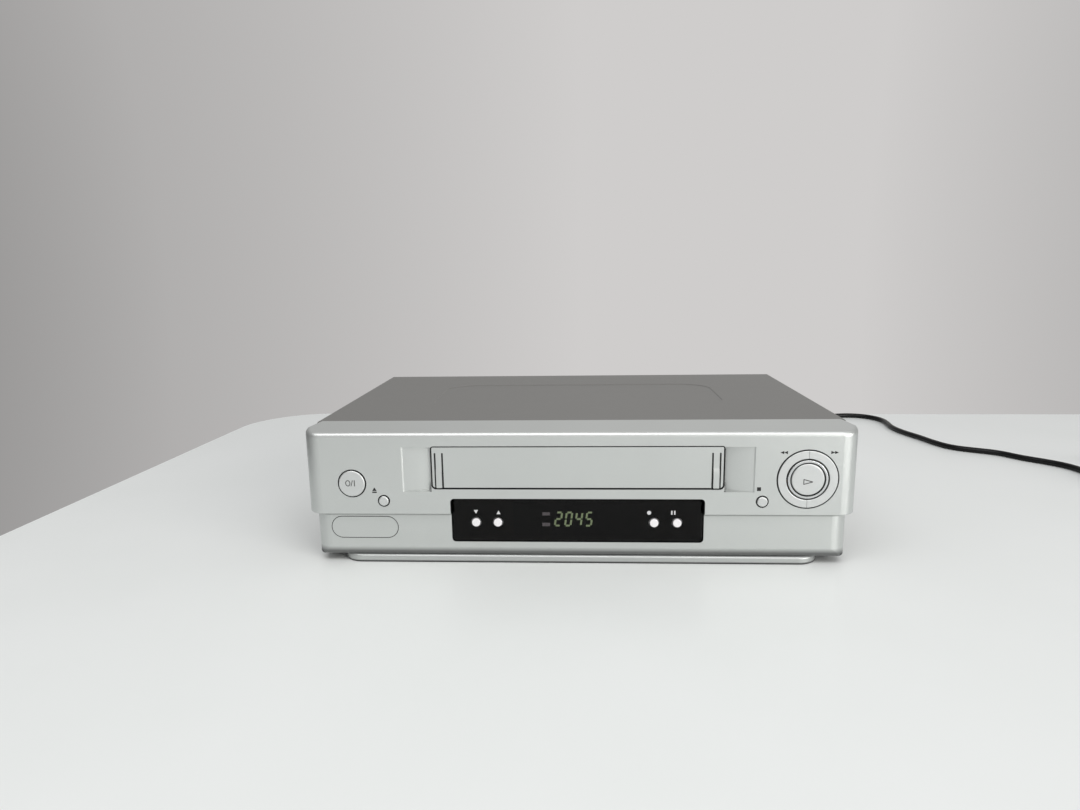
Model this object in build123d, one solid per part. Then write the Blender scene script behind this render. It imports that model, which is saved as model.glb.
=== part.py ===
from build123d import *
from math import acos, asin, atan2, cos, degrees, hypot, pi, radians, sin, tan
import os

# A front-loading VHS video cassette recorder. Millimetres, +Z up, the front faces -Y.
# The origin is on the table under the middle of the machine. In the code, x runs across,
# d is the depth counted back from the front plane, and z is the height above the table.

# ---------------------------------------------------------------- driving dimensions
# Case
PANEL_WIDTH = 360.0      # front panel at its widest
HEIGHT = 94.0            # table to the top of the cover
DEPTH = 219.0            # front plane to the back of the cover
JACK_REACH = 9.0         # aerial connectors behind the cover
BUTTON_PROUD = 1.0       # button faces in front of the front plane
PANEL_WALL = 2.5         # moulded walls of the front panel
SHEET = 0.8              # steel sheet of the cover, bottom plate and holder
BEZEL_DEPTH = 19.4       # front plane to the seam between panel and cover
END_OVERHANG = 4.25      # panel end beyond the cover's side
PANEL_CORNER = 11.5      # vertical corners of the panel, seen from above
PANEL_BROW = 4.4         # fall of the panel's top from the seam to the front
BROW_ROUND = 3.5         # rounded edge of the panel's top
STEP_Z = 34.9            # height of the step between upper and lower panel
STEP_DEPTH = 2.8         # the lower panel lies this far back
LOWER_OVERHANG = 0.35    # lower panel end beyond the cover's side
PANEL_LOW = 5.5          # underside of the lower panel
STEP_ROUND = 0.6         # rounded lower edge of the upper panel
CHIN_RISE = 5.0          # the lower panel's foot slopes back over this height
CHIN_BACK = 1.9
CHIN_ROUND = 5.0
CHIN_FOOT_ROUND = 0.8
PLINTH_INSET = 20.7      # plinth end inside the panel's end
PLINTH_FRONT = 3.0
PLINTH_CORNER = 14.0
PLINTH_TOP = 5.2
PLINTH_ROUND = 1.6       # rounded upper edge of the plinth
PLINTH_FOOT_ROUND = 0.7
PLINTH_NECK = 3.0        # the neck above the plinth lies this far inside it
PLINTH_FLOOR = 2.0
GROUND_GAP = 3.0         # bottom plate above the table
REAR_WALL = 2.0
REAR_SETBACK = 0.5       # rear panel inside the cover's back edge
DENT_SIZE = (220.0, 96.0)  # pressed stiffening panel in the cover's top
DENT_CORNER = 24.0
DENT_DEEP = 0.5
DENT_SLOPE = 60          # degrees from upright

# Cassette and slot
CASSETTE_WIDTH = 187.0
CASSETTE_HEIGHT = 25.0
CASSETTE_Z = 53.6        # underside of a cassette in the slot
SLOT_DROP = 1.6          # slot edge below the cassette
SLOT_RISE = 2.4          # slot edge above the cassette
DOOR_SIDE = 0.4          # door beyond the cassette on each side
DOOR_GAP = 1.0           # door to slot at the sides
DOOR_TOP_GAP = 0.7       # door to slot at the top
DOOR_FOOT_GAP = 1.2      # door to slot at the bottom
DOOR_THICK = 2.5
DOOR_CORNER = 0.9        # upper corners of the door
DOOR_FOOT_CORNER = 2.0   # lower corners of the door
GROOVE_INSET = 2.0       # outer groove from the door's end
GROOVE_PITCH = 4.85
GROOVE_WIDTH = 1.1       # grooves in the door's ends
GROOVE_DEEP = 0.9
GRIP_TOP = 66.3          # finger grip between the grooves
GRIP_FULL = 61.8         # below this height the grip is at its thickest
GRIP_PROUD = 0.9
SCOOP_WIDTH = 19.1       # finger scoop beside the door
SCOOP_LIP = 0.7          # depth of a scoop at its outer edge
SCOOP_BEVEL = 0.9        # width of that edge's bevel
SCOOP_DEEP = 4.8         # and next to the door
SCOOP_DROP = 1.6         # floor of a scoop below the slot's edge

# Controls: place and radius
STANDBY_R = 8.75
SMALL_R = 3.3
PLAY_R = 10.4
RING_GAP = 0.8           # between the play button and each ring around it
TRIM_WIDTH = 1.5
SHUTTLE_WIDTH = 5.3      # half-ring buttons around the play button
TRIM_ARM_D = (4.2, 5.7)  # arms that hold the trim ring, behind the panel
KEY_R = 2.8              # buttons in the display window
SHUTTLE_SPLIT = 0.2      # between the two half rings
BUTTON_GAP = 0.8
CAP_ROUND = 0.8          # rounded edge of the large buttons
RING_ROUND = 0.5
BUTTON_TRAVEL = 0.8
FLANGE = 1.2             # button flange wider than its cap
STANDBY_INSET = 32.3     # from the panel's end to the standby button
EJECT_INSET = 53.0
STOP_INSET = 60.9
PLAY_INSET = 33.0
STANDBY_Z = 56.0
SMALL_Z = 44.1
PLAY_Z = 59.0
KEY_Z = 28.5
KEY_XS = (-66.5, -52.0, 50.7, 65.7)

# Display window
WINDOW_HALF = 82.9
WINDOW_LOW = 14.9
WINDOW_HIGH = 45.6
WINDOW_ROUND = 2.5
WINDOW_BEVEL = 1.9       # bevelled lower edge of the window
OVAL_MID_INSET = 38.35   # engraved oval on the lower panel
OVAL_Z = 24.9
OVAL_LENGTH = 45.7
OVAL_HEIGHT = 15.4

# Mechanism
BOARD_THICK = 1.6
BOARD_Z = 7.0
TIMER_BOARD_D = 12.0
SWITCH_BODY = 9.3        # front of the push switches
SWITCH_TIP = 8.4         # front of their plungers
DECK_Z = 23.0
DECK_THICK = 1.5
DECK_HALF = 103.0
LOADER_TRAVEL = 61.0
HOLDER_DROP = 19.0
RUNNING = 0.05           # radial clearance of a pin in its hole
PIN_R = 1.5
PIVOT_R = 2.5            # fixed posts that arms and reels turn on
PIVOT_PIN_R = 1.2        # door pins
REEL_SPACING = 92.0
REEL_D = 77.0
REEL_RIM_R = 24.0
DRUM_R = 31.0
DRUM_D = 177.0
CAPSTAN = (58.0, 146.0)
CAPSTAN_R = 1.5
CAPSTAN_BUSH_R = 3.2
FLYWHEEL_R = 26.0
CAPSTAN_PULLEY_R = 9.0
CLUTCH = (0.0, 105.0)
CLUTCH_PULLEY_R = 13.0
CLUTCH_WHEEL_R = 12.8
CLUTCH_SHAFT_R = 2.0
WHEEL_Z = (27.0, 30.0)   # friction wheels above the deck
IDLER_R = 13.0
REEL_TOP = 43.5
PINCH_R = 6.5
PINCH_PIVOT = (80.0, 145.0)
PINCH_REST = (64.8, 128.9)
TENSION_PIVOT = (-66.0, 116.0)
TENSION_POST = (-50.0, 129.0)
GUIDE_NECK_R = 2.0
GUIDE_REST = (36.0, 126.0)
GUIDE_LOADED = (42.0, 189.0)
CAM = (-70.0, 119.5)
CAM_Z = (16.5, 20.5)
GEAR_MODULE = 1.25
CAM_TEETH = 36
PINION_TEETH = 12
PINION_BEARING = 108.5   # direction from the cam's axis to the pinion, degrees
BACKLASH = 0.3
PRESSURE_ANGLE = radians(25)

# Connectors and fasteners
SCREW_DEPTHS = (48.0, DEPTH - 34.0)
SCREW_Z = 10.0
SCREW_R = 1.5
SCREW_HEAD = 1.7
SCART_INSET = 38.0
SCART_WIDTH = 47.4
SCART_HEIGHT = 15.4
SCART_ZS = (19.0, 38.0)
TUNER_JACKS = (-86.0, -66.0)
TUNER_JACK_Z = 24.0
AERIAL_BORE_R = 4.78
AERIAL_PLUG_R = 4.75
AUDIO_XS = (62.0, 78.0)
AUDIO_Z = 19.0
AUDIO_R = 4.15
AUDIO_REACH = 8.5

# Mains cord
CORD_R = 2.75
CORD_REST_Z = 2.8        # height of the cord's middle on the table
COIL_R = 30.0            # mean radius of the spare turns
COIL_HALF_WIDTH = 9.5
COIL_HEIGHT = 11.0
GLAND_X_INSET = 30.0
GLAND_Z = 28.0
GLAND_REACH = 22.0       # tapered strain relief behind the cover
PLUG_PIN_SPACING = 19.0
PLUG_PIN_LENGTH = 19.0

# ---------------------------------------------------------------- derived places
FRONT = (BUTTON_PROUD - DEPTH - JACK_REACH) / 2
EDGE = PANEL_WIDTH / 2
COVER_HALF = EDGE - END_OVERHANG
LOWER_HALF = COVER_HALF + LOWER_OVERHANG
PLINTH_HALF = EDGE - PLINTH_INSET
SCART_X = SCART_INSET - EDGE
TOP_FRONT_Z = HEIGHT - PANEL_BROW
REAR_FACE = DEPTH - REAR_SETBACK
REAR_INNER = REAR_FACE - REAR_WALL
LINER_HALF = COVER_HALF - SHEET - RUNNING
RAIL_HALF = LINER_HALF - SHEET - RUNNING
PLATE_TOP = GROUND_GAP + SHEET
BOARD_TOP = BOARD_Z + BOARD_THICK
DECK_TOP = DECK_Z + DECK_THICK
BOARD_HALF = RAIL_HALF - 7

CASSETTE_TOP = CASSETTE_Z + CASSETTE_HEIGHT
SLOT_LOW = CASSETTE_Z - SLOT_DROP
SLOT_HIGH = CASSETTE_TOP + SLOT_RISE
DOOR_HALF = CASSETTE_WIDTH / 2 + DOOR_SIDE
SLOT_HALF = DOOR_HALF + DOOR_GAP
DOOR_LOW = SLOT_LOW + DOOR_FOOT_GAP
DOOR_HIGH = SLOT_HIGH - DOOR_TOP_GAP
SCOOP_HALF = SLOT_HALF + SCOOP_WIDTH
PIVOT_D = 4.6
PIVOT_Z = DOOR_HIGH + 4.0

STANDBY_X = STANDBY_INSET - EDGE
EJECT_X = EJECT_INSET - EDGE
STOP_X = EDGE - STOP_INSET
PLAY_X = EDGE - PLAY_INSET
TRIM_INNER_R = PLAY_R + RING_GAP
TRIM_OUTER_R = TRIM_INNER_R + TRIM_WIDTH
SHUTTLE_INNER_R = TRIM_OUTER_R + RING_GAP
SHUTTLE_OUTER_R = SHUTTLE_INNER_R + SHUTTLE_WIDTH
SHUTTLE_STEM = (SHUTTLE_INNER_R + SHUTTLE_OUTER_R) / 2
WINDOW_FACE = STEP_DEPTH + 0.1
WINDOW_BACK = STEP_DEPTH + PANEL_WALL
WINDOW_FLANGE = 1.0
STEM_TIP = SWITCH_TIP - BUTTON_TRAVEL - 0.1

HOLDER_FRONT = 14.0
HOLDER_LENGTH = 62.0
HOLDER_OUT = DOOR_HALF + 2.5       # outer face of the holder's side walls
SLIDE_IN = HOLDER_OUT + 0.4        # inner face of the carriage's side plates
FRAME_IN = SLIDE_IN + SHEET + 0.4  # inner face of the fixed side plates
FRAME_SHEET = 1.2
HOLDER_PINS = (30.0, 62.0)
HOLDER_PIN_Z = CASSETTE_Z + 12.4
SLIDE_PIN_Z = CASSETTE_Z + 21.4
DRUM_LOW_TOP = DECK_TOP + 17.5
GAP_WIDTH = 0.3

PITCH_DISTANCE = GEAR_MODULE * (CAM_TEETH + PINION_TEETH) / 2
PINION = (CAM[0] + PITCH_DISTANCE * cos(radians(PINION_BEARING)),
          CAM[1] + PITCH_DISTANCE * sin(radians(PINION_BEARING)))

IDLER = (CLUTCH[0], CLUTCH[1] - CLUTCH_WHEEL_R - IDLER_R - 0.2)
GLAND_X = EDGE - GLAND_X_INSET
CORD_END = (463.0, 192.0)          # where the cord meets its coil, x and d
# Route of the cord from the strain relief to the coil: x, d and z of each point
CORD_ROUTE = [
    (GLAND_X, DEPTH + GLAND_REACH, GLAND_Z),
    (GLAND_X, DEPTH + GLAND_REACH + 20, GLAND_Z),
    (152, 294, 14),
    (164, 330, CORD_REST_Z),
    (193, 370, CORD_REST_Z),
    (233, 408, CORD_REST_Z),
    (272, 440, CORD_REST_Z),
    (305, 461, CORD_REST_Z),
    (330, 470, CORD_REST_Z),
    (349, 469.5, CORD_REST_Z),
    (364.5, 459, CORD_REST_Z),
    (372, 441, CORD_REST_Z),
    (370.5, 422, CORD_REST_Z),
    (366, 399, CORD_REST_Z),
    (369, 372, CORD_REST_Z),
    (376, 349, CORD_REST_Z),
    (380, 325, CORD_REST_Z),
    (388, 303, CORD_REST_Z),
    (407, 291, CORD_REST_Z),
    (424, 281, CORD_REST_Z),
    (434, 262, CORD_REST_Z),
    (449, 247, CORD_REST_Z),
    (460, 231, CORD_REST_Z),
    (CORD_END[0], CORD_END[1] + 19, CORD_REST_Z),
    (CORD_END[0], CORD_END[1], CORD_REST_Z),
]
COIL_X = CORD_END[0] + COIL_R
COIL_D = CORD_END[1] - 27.0
PLUG_Z = 6.85            # middle of the plug lying on its flat side
PLUG_D = COIL_D + 42.0


# ---------------------------------------------------------------- building blocks
def block(x, d, z):
    """A box between pairs of limits."""
    centre = Pos(sum(x) / 2, FRONT + sum(d) / 2, sum(z) / 2)
    return centre * Box(abs(x[1] - x[0]), abs(d[1] - d[0]), abs(z[1] - z[0]))


def post(place, z, radius):
    """An upright cylinder at (x, d) between two heights."""
    return Pos(place[0], FRONT + place[1], sum(z) / 2) * Cylinder(radius, z[1] - z[0])


def rod_d(x, z, d, radius):
    """A cylinder running front to back."""
    return Pos(x, FRONT + sum(d) / 2, z) * Rot(90, 0, 0) * Cylinder(radius, d[1] - d[0])


def rod_x(d, z, x, radius):
    """A cylinder running across."""
    return Pos(sum(x) / 2, FRONT + d, z) * Rot(0, 90, 0) * Cylinder(radius, abs(x[1] - x[0]))


def plan(points):
    """A flat face seen from above, from (x, d) points."""
    return Polygon(*[(x, FRONT + d) for x, d in points], align=None)


def raise_plan(face, z):
    """A face seen from above, made solid between two heights."""
    return Pos(0, 0, z[0]) * extrude(face, z[1] - z[0], dir=(0, 0, 1))


def across(points, x):
    """A side profile of (d, z) points, run across between two x values."""
    profile = Plane.YZ * Polygon(*[(FRONT + d, z) for d, z in points], align=None)
    return Pos(x[0], 0, 0) * extrude(profile, x[1] - x[0], dir=(1, 0, 0))


def front_plate(x, z, d, corner):
    """A plate facing the front, with rounded corners."""
    outline = RectangleRounded(x[1] - x[0], z[1] - z[0], corner)
    face = Pos(sum(x) / 2, FRONT + d[0], sum(z) / 2) * Rot(90, 0, 0) * outline
    return extrude(face, d[1] - d[0], dir=(0, 1, 0))


def arm(start, end, z, width):
    """A flat lever with round ends between two (x, d) places."""
    length = hypot(end[0] - start[0], end[1] - start[1])
    angle = degrees(atan2(end[1] - start[1], end[0] - start[0]))
    middle = Pos((start[0] + end[0]) / 2, FRONT + (start[1] + end[1]) / 2, 0)
    return raise_plan(middle * Rot(0, 0, angle) * SlotCenterToCenter(length, width), z)


def both_sides(shape):
    """The shape and its mirror image on the other side of the machine."""
    return shape + mirror(shape, Plane.YZ)


def group(shapes):
    """Separate solids of one kind, kept together."""
    return Part() + shapes


# ---------------------------------------------------------------- front panel
def panel_plan(half, front, inset):
    """The panel from above: widest at its corners, drawing in to meet the cover."""
    side = half - inset
    seam = COVER_HALF - inset
    knee = front + PANEL_CORNER + 1
    points = [(-seam, BEZEL_DEPTH), (-side, knee), (-side, front + inset)]
    points += [(-x, d) for x, d in reversed(points)]
    outline = plan(points)
    return fillet(outline.vertices().group_by(Axis.Y)[0], PANEL_CORNER - inset)


def under_brow(low, drop):
    """The space under the panel's sloping top, lowered by drop."""
    slope = PANEL_BROW / BEZEL_DEPTH
    points = [(-1, low), (-1, TOP_FRONT_Z - slope - drop)]
    points += [(BEZEL_DEPTH, HEIGHT - drop), (BEZEL_DEPTH, low)]
    return across(points, (-EDGE - 1, EDGE + 1))


def scoop(outer, shift, open_d, z):
    """The hollow beside the door, or the wall behind it when shifted back."""
    start = (outer - SCOOP_BEVEL, FRONT + SCOOP_LIP + shift)
    middle = (SLOT_HALF + SCOOP_WIDTH * 0.45, FRONT + SCOOP_LIP + SCOOP_DEEP * 0.32 + shift)
    end = (SLOT_HALF, FRONT + SCOOP_DEEP + shift)
    back = [(SLOT_HALF, FRONT + open_d), (outer, FRONT + open_d), (outer, FRONT + shift)]
    edge = ThreePointArc(start, middle, end) + Polyline(end, *back, start)
    return raise_plan(make_face(edge), z)


def plinth_plan(inset):
    """The plinth from above, or its neck when inset."""
    half = PLINTH_HALF - inset
    points = [(-half, BEZEL_DEPTH), (-half, PLINTH_FRONT + inset)]
    points += [(-x, d) for x, d in reversed(points)]
    outline = plan(points)
    return fillet(outline.vertices().group_by(Axis.Y)[0], PLINTH_CORNER - inset)


def plinth():
    """A long foot with rounded edges, joined to the panel by a recessed neck."""
    bar = raise_plan(plinth_plan(0), (0, PLINTH_TOP))
    bar = fillet(bar.faces().sort_by(Axis.Z)[-1].edges().sort_by(Axis.Y)[:-1], PLINTH_ROUND)
    bar = fillet(bar.faces().sort_by(Axis.Z)[0].edges().sort_by(Axis.Y)[:-1], PLINTH_FOOT_ROUND)
    return bar + raise_plan(plinth_plan(PLINTH_NECK), (PLINTH_TOP - 1, PANEL_LOW + 1))


def panel_body():
    """Upper and lower panel and the plinth under them, hollow from behind."""
    upper = raise_plan(panel_plan(EDGE, 0, 0), (STEP_Z, HEIGHT)) & under_brow(STEP_Z, 0)
    brow = upper.faces().sort_by(Axis.Z)[-1]
    upper = fillet(brow.edges().sort_by(Axis.Y)[:-1], BROW_ROUND)
    lip = upper.faces().sort_by(Axis.Z)[0]
    upper = fillet(lip.edges().sort_by(Axis.Y)[:-1], STEP_ROUND)
    chin = across([(STEP_DEPTH, STEP_Z), (BEZEL_DEPTH, STEP_Z), (BEZEL_DEPTH, PANEL_LOW),
                   (STEP_DEPTH + CHIN_BACK, PANEL_LOW), (STEP_DEPTH, PANEL_LOW + CHIN_RISE)], (-EDGE, EDGE))
    chin = fillet(chin.edges().filter_by(Axis.X).group_by(Axis.Z)[1], CHIN_ROUND)
    chin = fillet(chin.edges().filter_by(Axis.X).group_by(Axis.Z)[0].sort_by(Axis.Y)[0], CHIN_FOOT_ROUND)
    lower = raise_plan(panel_plan(LOWER_HALF, STEP_DEPTH, 0), (PANEL_LOW, STEP_Z)) & chin
    body = upper + lower + plinth()

    wall = PANEL_WALL
    cavity_top = raise_plan(panel_plan(EDGE, 0, wall), (STEP_Z + wall, HEIGHT))
    body -= cavity_top & under_brow(STEP_Z + wall, wall)
    body -= raise_plan(panel_plan(LOWER_HALF, STEP_DEPTH, wall), (PANEL_LOW + wall, STEP_Z + wall))
    pocket_x = PLINTH_HALF - PLINTH_CORNER
    body -= block((-pocket_x, pocket_x), (PLINTH_FRONT + PLINTH_NECK + wall, BEZEL_DEPTH - wall),
                  (PLINTH_FLOOR, PANEL_LOW + wall))
    return body


def slot_surround():
    """Walls behind the scoops, pivot blocks for the door and the lead-in shelf."""
    wall = PANEL_WALL
    behind = scoop(SCOOP_HALF + wall, wall, wall / 2,
                   (SLOT_LOW - SCOOP_DROP - wall, SLOT_HIGH + 1.2))
    pivot = block((SLOT_HALF, SLOT_HALF + 3.1), (wall - 0.1, 8), (SLOT_HIGH, PIVOT_Z + 3))
    shelf = block((-SLOT_HALF, SLOT_HALF), (wall - 0.1, TIMER_BOARD_D), (SLOT_LOW - wall, SLOT_LOW))
    return both_sides(behind + pivot) + shelf


def door_plate(half, low, high, top_corner, foot_corner, d):
    """A plate the shape of the door, with its own radius at the lower corners."""
    face = Pos(0, FRONT + d[0], (low + high) / 2) * Rot(90, 0, 0) * Rectangle(2 * half, high - low)
    lower, upper = face.vertices().group_by(Axis.Z)
    face = fillet(upper, top_corner)
    face = fillet(face.vertices().group_by(Axis.Z)[0], foot_corner)
    return extrude(face, d[1] - d[0], dir=(0, 1, 0))


def trim_bosses():
    """Two bosses that carry the arms of the play button's trim ring."""
    upper = (PLAY_Z + SHUTTLE_OUTER_R + 0.4, PLAY_Z + SHUTTLE_OUTER_R + 3.2)
    lower = (PLAY_Z - SHUTTLE_OUTER_R - 3.2, PLAY_Z - SHUTTLE_OUTER_R - 0.4)
    depth = (PANEL_WALL - 0.1, TRIM_ARM_D[0])
    return [block((PLAY_X - 2.5, PLAY_X + 2.5), depth, z) for z in (upper, lower)]


def front_panel():
    panel = panel_body() + slot_surround() + trim_bosses()
    collar_x = WINDOW_HALF + PANEL_WALL
    panel += block((-collar_x, collar_x), (PANEL_WALL - 0.1, WINDOW_BACK),
                   (STEP_Z, WINDOW_HIGH + PANEL_WALL))
    panel -= front_plate((-WINDOW_HALF, WINDOW_HALF), (WINDOW_LOW, WINDOW_HIGH),
                         (-1, WINDOW_BACK), WINDOW_ROUND)
    panel -= door_plate(SLOT_HALF, SLOT_LOW, SLOT_HIGH, DOOR_CORNER + DOOR_GAP,
                        DOOR_FOOT_CORNER + DOOR_GAP, (-1, PANEL_WALL + 0.1))
    panel -= both_sides(scoop(SCOOP_HALF, 0, -1, (SLOT_LOW - SCOOP_DROP, DOOR_HIGH)))
    panel -= both_sides(rod_x(PIVOT_D, PIVOT_Z, (SLOT_HALF - 0.1, SLOT_HALF + 3.2), PIVOT_PIN_R + RUNNING))
    through = (-1, PANEL_WALL + 0.1)
    panel -= rod_d(STANDBY_X, STANDBY_Z, through, STANDBY_R + BUTTON_GAP)
    panel -= rod_d(EJECT_X, SMALL_Z, through, SMALL_R + BUTTON_GAP)
    panel -= rod_d(STOP_X, SMALL_Z, through, SMALL_R + BUTTON_GAP)
    panel -= rod_d(PLAY_X, PLAY_Z, through, SHUTTLE_OUTER_R + BUTTON_GAP)
    oval_x = OVAL_MID_INSET - EDGE
    oval = Pos(oval_x, FRONT + STEP_DEPTH - 1, OVAL_Z) * Rot(90, 0, 0)
    ring = SlotOverall(OVAL_LENGTH, OVAL_HEIGHT) - SlotOverall(OVAL_LENGTH - 1, OVAL_HEIGHT - 1)
    panel -= extrude(oval * ring, 1.3, dir=(0, 1, 0))
    return panel


def display_window():
    """Dark window with a flange behind the panel and holes for four buttons."""
    half = WINDOW_HALF - 0.15
    low = WINDOW_LOW + 0.15
    high = WINDOW_HIGH - 0.15
    window = front_plate((-half, half), (low, high), (WINDOW_FACE, WINDOW_BACK), WINDOW_ROUND)
    face = window.faces().sort_by(Axis.Y)[0]
    window = chamfer(face.edges().group_by(Axis.Z)[0], WINDOW_BEVEL, 0.8, reference=face)
    window += front_plate((-half - 1.8, half + 1.8), (low - 1.8, high + 1.8),
                          (WINDOW_BACK, WINDOW_BACK + WINDOW_FLANGE), 1)
    holes = [rod_d(x, KEY_Z, (0, 9), KEY_R + BUTTON_GAP) for x in KEY_XS]
    return window - holes


def door_grip(inner, outer):
    """Finger grip between two grooves: it swells out of the door below its upper edge."""
    top = Vector(0, FRONT, GRIP_TOP)
    middle = Vector(0, FRONT - GRIP_PROUD * 0.75, (GRIP_TOP + GRIP_FULL) / 2)
    full = Vector(0, FRONT - GRIP_PROUD, GRIP_FULL)
    foot = Vector(0, FRONT - GRIP_PROUD, DOOR_LOW)
    sunk = [Vector(0, FRONT + GROOVE_DEEP, z) for z in (DOOR_LOW, GRIP_TOP)]
    edge = ThreePointArc(top, middle, full) + Polyline(full, foot, *sunk, top)
    return Pos(inner, 0, 0) * extrude(make_face(edge), outer - inner, dir=(1, 0, 0))


def cassette_door():
    """Flap with ridged ends, hung from two pins behind the panel's upper edge."""
    door = door_plate(DOOR_HALF, DOOR_LOW, DOOR_HIGH, DOOR_CORNER, DOOR_FOOT_CORNER, (0, DOOR_THICK))
    groove_z = (DOOR_LOW - 1, DOOR_HIGH - 3.8)
    outer = DOOR_HALF - GROOVE_INSET
    for x in (outer, outer - GROOVE_PITCH):
        groove = block((x - GROOVE_WIDTH / 2, x + GROOVE_WIDTH / 2), (-1, GROOVE_DEEP), groove_z)
        door -= both_sides(groove)
    door += both_sides(door_grip(outer - GROOVE_PITCH + GROOVE_WIDTH / 2, outer - GROOVE_WIDTH / 2))
    ear = DOOR_HALF - 1.7
    root = block((ear, DOOR_HALF), (DOOR_THICK - 0.1, 3.3), (DOOR_HIGH - 8, DOOR_HIGH - 0.7))
    lever = across([(3.0, DOOR_HIGH - 8), (3.0, DOOR_HIGH - 0.7), (2.75, PIVOT_Z), (6.4, PIVOT_Z),
                    (5.2, DOOR_HIGH - 8)], (ear, DOOR_HALF))
    lever += rod_x(PIVOT_D, PIVOT_Z, (ear, DOOR_HALF), 1.85)
    pin = rod_x(PIVOT_D, PIVOT_Z, (ear, DOOR_HALF + 6.8), PIVOT_PIN_R)
    return door + both_sides(root + lever + pin)


def door_spring():
    """Torsion spring coiled beside the right-hand pivot block, one leg on the block."""
    wire = 0.3
    start = SLOT_HALF + 3.1 + wire
    turns = [Pos(start + n * wire * 1.6, FRONT + PIVOT_D, PIVOT_Z) * Rot(0, 90, 0) * Torus(1.6, wire)
             for n in range(5)]
    leg = Pos(start, FRONT + PIVOT_D + 1.6, PIVOT_Z + 1.9) * Cylinder(wire, 3.8)
    return Part() + turns + leg


# ---------------------------------------------------------------- buttons
def push_button(x, z, radius, face, flange_d, cap_round):
    """A round cap with a retaining flange and a stem to its switch."""
    cap = rod_d(x, z, (face, flange_d + 0.1), radius)
    cap = fillet(cap.edges().group_by(Axis.Y)[0], cap_round)
    flange = rod_d(x, z, (flange_d, flange_d + 0.8), radius + FLANGE)
    stem = rod_d(x, z, (flange_d, STEM_TIP), min(radius, 2.0))
    return cap + flange + stem


def panel_button(x, z, radius):
    return push_button(x, z, radius, -BUTTON_PROUD, PANEL_WALL + 0.1, CAP_ROUND)


def key_button(x):
    return push_button(x, KEY_Z, KEY_R, WINDOW_FACE - 0.9, WINDOW_BACK + WINDOW_FLANGE + 0.1, 0.4)


def play_button():
    flange_d = TRIM_ARM_D[1] + 0.1
    return push_button(PLAY_X, PLAY_Z, PLAY_R, -BUTTON_PROUD, flange_d, CAP_ROUND)


def shuttle_button(side):
    """Half-ring button beside the play button: side is -1 for the left one, 1 for the right."""
    depth = (-BUTTON_PROUD * 0.6, PANEL_WALL + 0.5)
    ring = rod_d(PLAY_X, PLAY_Z, depth, SHUTTLE_OUTER_R) - rod_d(PLAY_X, PLAY_Z, depth, SHUTTLE_INNER_R)
    ring = fillet(ring.edges().group_by(Axis.Y)[0], RING_ROUND)
    flange_d = (PANEL_WALL + 0.1, PANEL_WALL + 0.9)
    rim = rod_d(PLAY_X, PLAY_Z, flange_d, SHUTTLE_OUTER_R + FLANGE)
    rim -= rod_d(PLAY_X, PLAY_Z, flange_d, SHUTTLE_INNER_R)
    rim -= block((PLAY_X - 3.6, PLAY_X + 3.6), flange_d, (0, HEIGHT))
    reach = SHUTTLE_OUTER_R + FLANGE + 1
    near = PLAY_X + side * SHUTTLE_SPLIT / 2
    half = block((near, PLAY_X + side * reach), (-2, 8), (PLAY_Z - reach, PLAY_Z + reach))
    stem = rod_d(PLAY_X + side * SHUTTLE_STEM, PLAY_Z, (PANEL_WALL, STEM_TIP), 2.0)
    return ((ring + rim) & half) + stem


def play_trim_ring():
    """Fixed bright ring between the play button and the half rings, with two rear arms."""
    ring = rod_d(PLAY_X, PLAY_Z, (-BUTTON_PROUD * 0.9, TRIM_ARM_D[1]), TRIM_OUTER_R)
    ring = fillet(ring.edges().group_by(Axis.Y)[0], RING_ROUND)
    reach = SHUTTLE_OUTER_R + 1.8
    ring += block((PLAY_X - 2.2, PLAY_X + 2.2), TRIM_ARM_D, (PLAY_Z - reach, PLAY_Z + reach))
    return ring - rod_d(PLAY_X, PLAY_Z, (-2, TRIM_ARM_D[1] + 1), TRIM_INNER_R)


# ---------------------------------------------------------------- case
def vent_row(count, first, pitch, cutter):
    """Copies of a vent cutter in a row from front to back."""
    return [Pos(0, FRONT + first + n * pitch, 0) * cutter for n in range(count)]


def top_cover():
    """Folded steel cover: top and two sides, with a pressed panel in the top and side vents."""
    depth = (BEZEL_DEPTH, DEPTH)
    low = PANEL_LOW + 0.3
    outer = block((-COVER_HALF, COVER_HALF), depth, (low, HEIGHT))
    outer = fillet(outer.edges().filter_by(Axis.Y).group_by(Axis.Z)[-1], 2.5)
    inner_half = COVER_HALF - SHEET
    inner = block((-inner_half, inner_half), depth, (low - 1, HEIGHT - SHEET))
    inner = fillet(inner.edges().filter_by(Axis.Y).group_by(Axis.Z)[-1], 2.5 - SHEET)
    cover = outer - inner
    middle = Pos(0, FRONT + (BEZEL_DEPTH + DEPTH) / 2, HEIGHT)
    width, length = DENT_SIZE
    below = Pos(0, 0, -SHEET) * middle * RectangleRounded(width + 1, length + 1, DENT_CORNER + 0.5)
    cover += extrude(below, DENT_DEEP, dir=(0, 0, -1))
    dent = middle * RectangleRounded(width, length, DENT_CORNER)
    cover -= extrude(dent, DENT_DEEP, dir=(0, 0, -1), taper=DENT_SLOPE)
    slot = Pos(0, 0, HEIGHT * 0.55) * Box(PANEL_WIDTH + 10, 2.2, 16)
    cover -= vent_row(16, DEPTH - 99, 5.2, slot)
    screw_holes = [rod_x(d, SCREW_Z, (-EDGE, EDGE), SCREW_R + 0.2) for d in SCREW_DEPTHS]
    return cover - screw_holes


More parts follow.
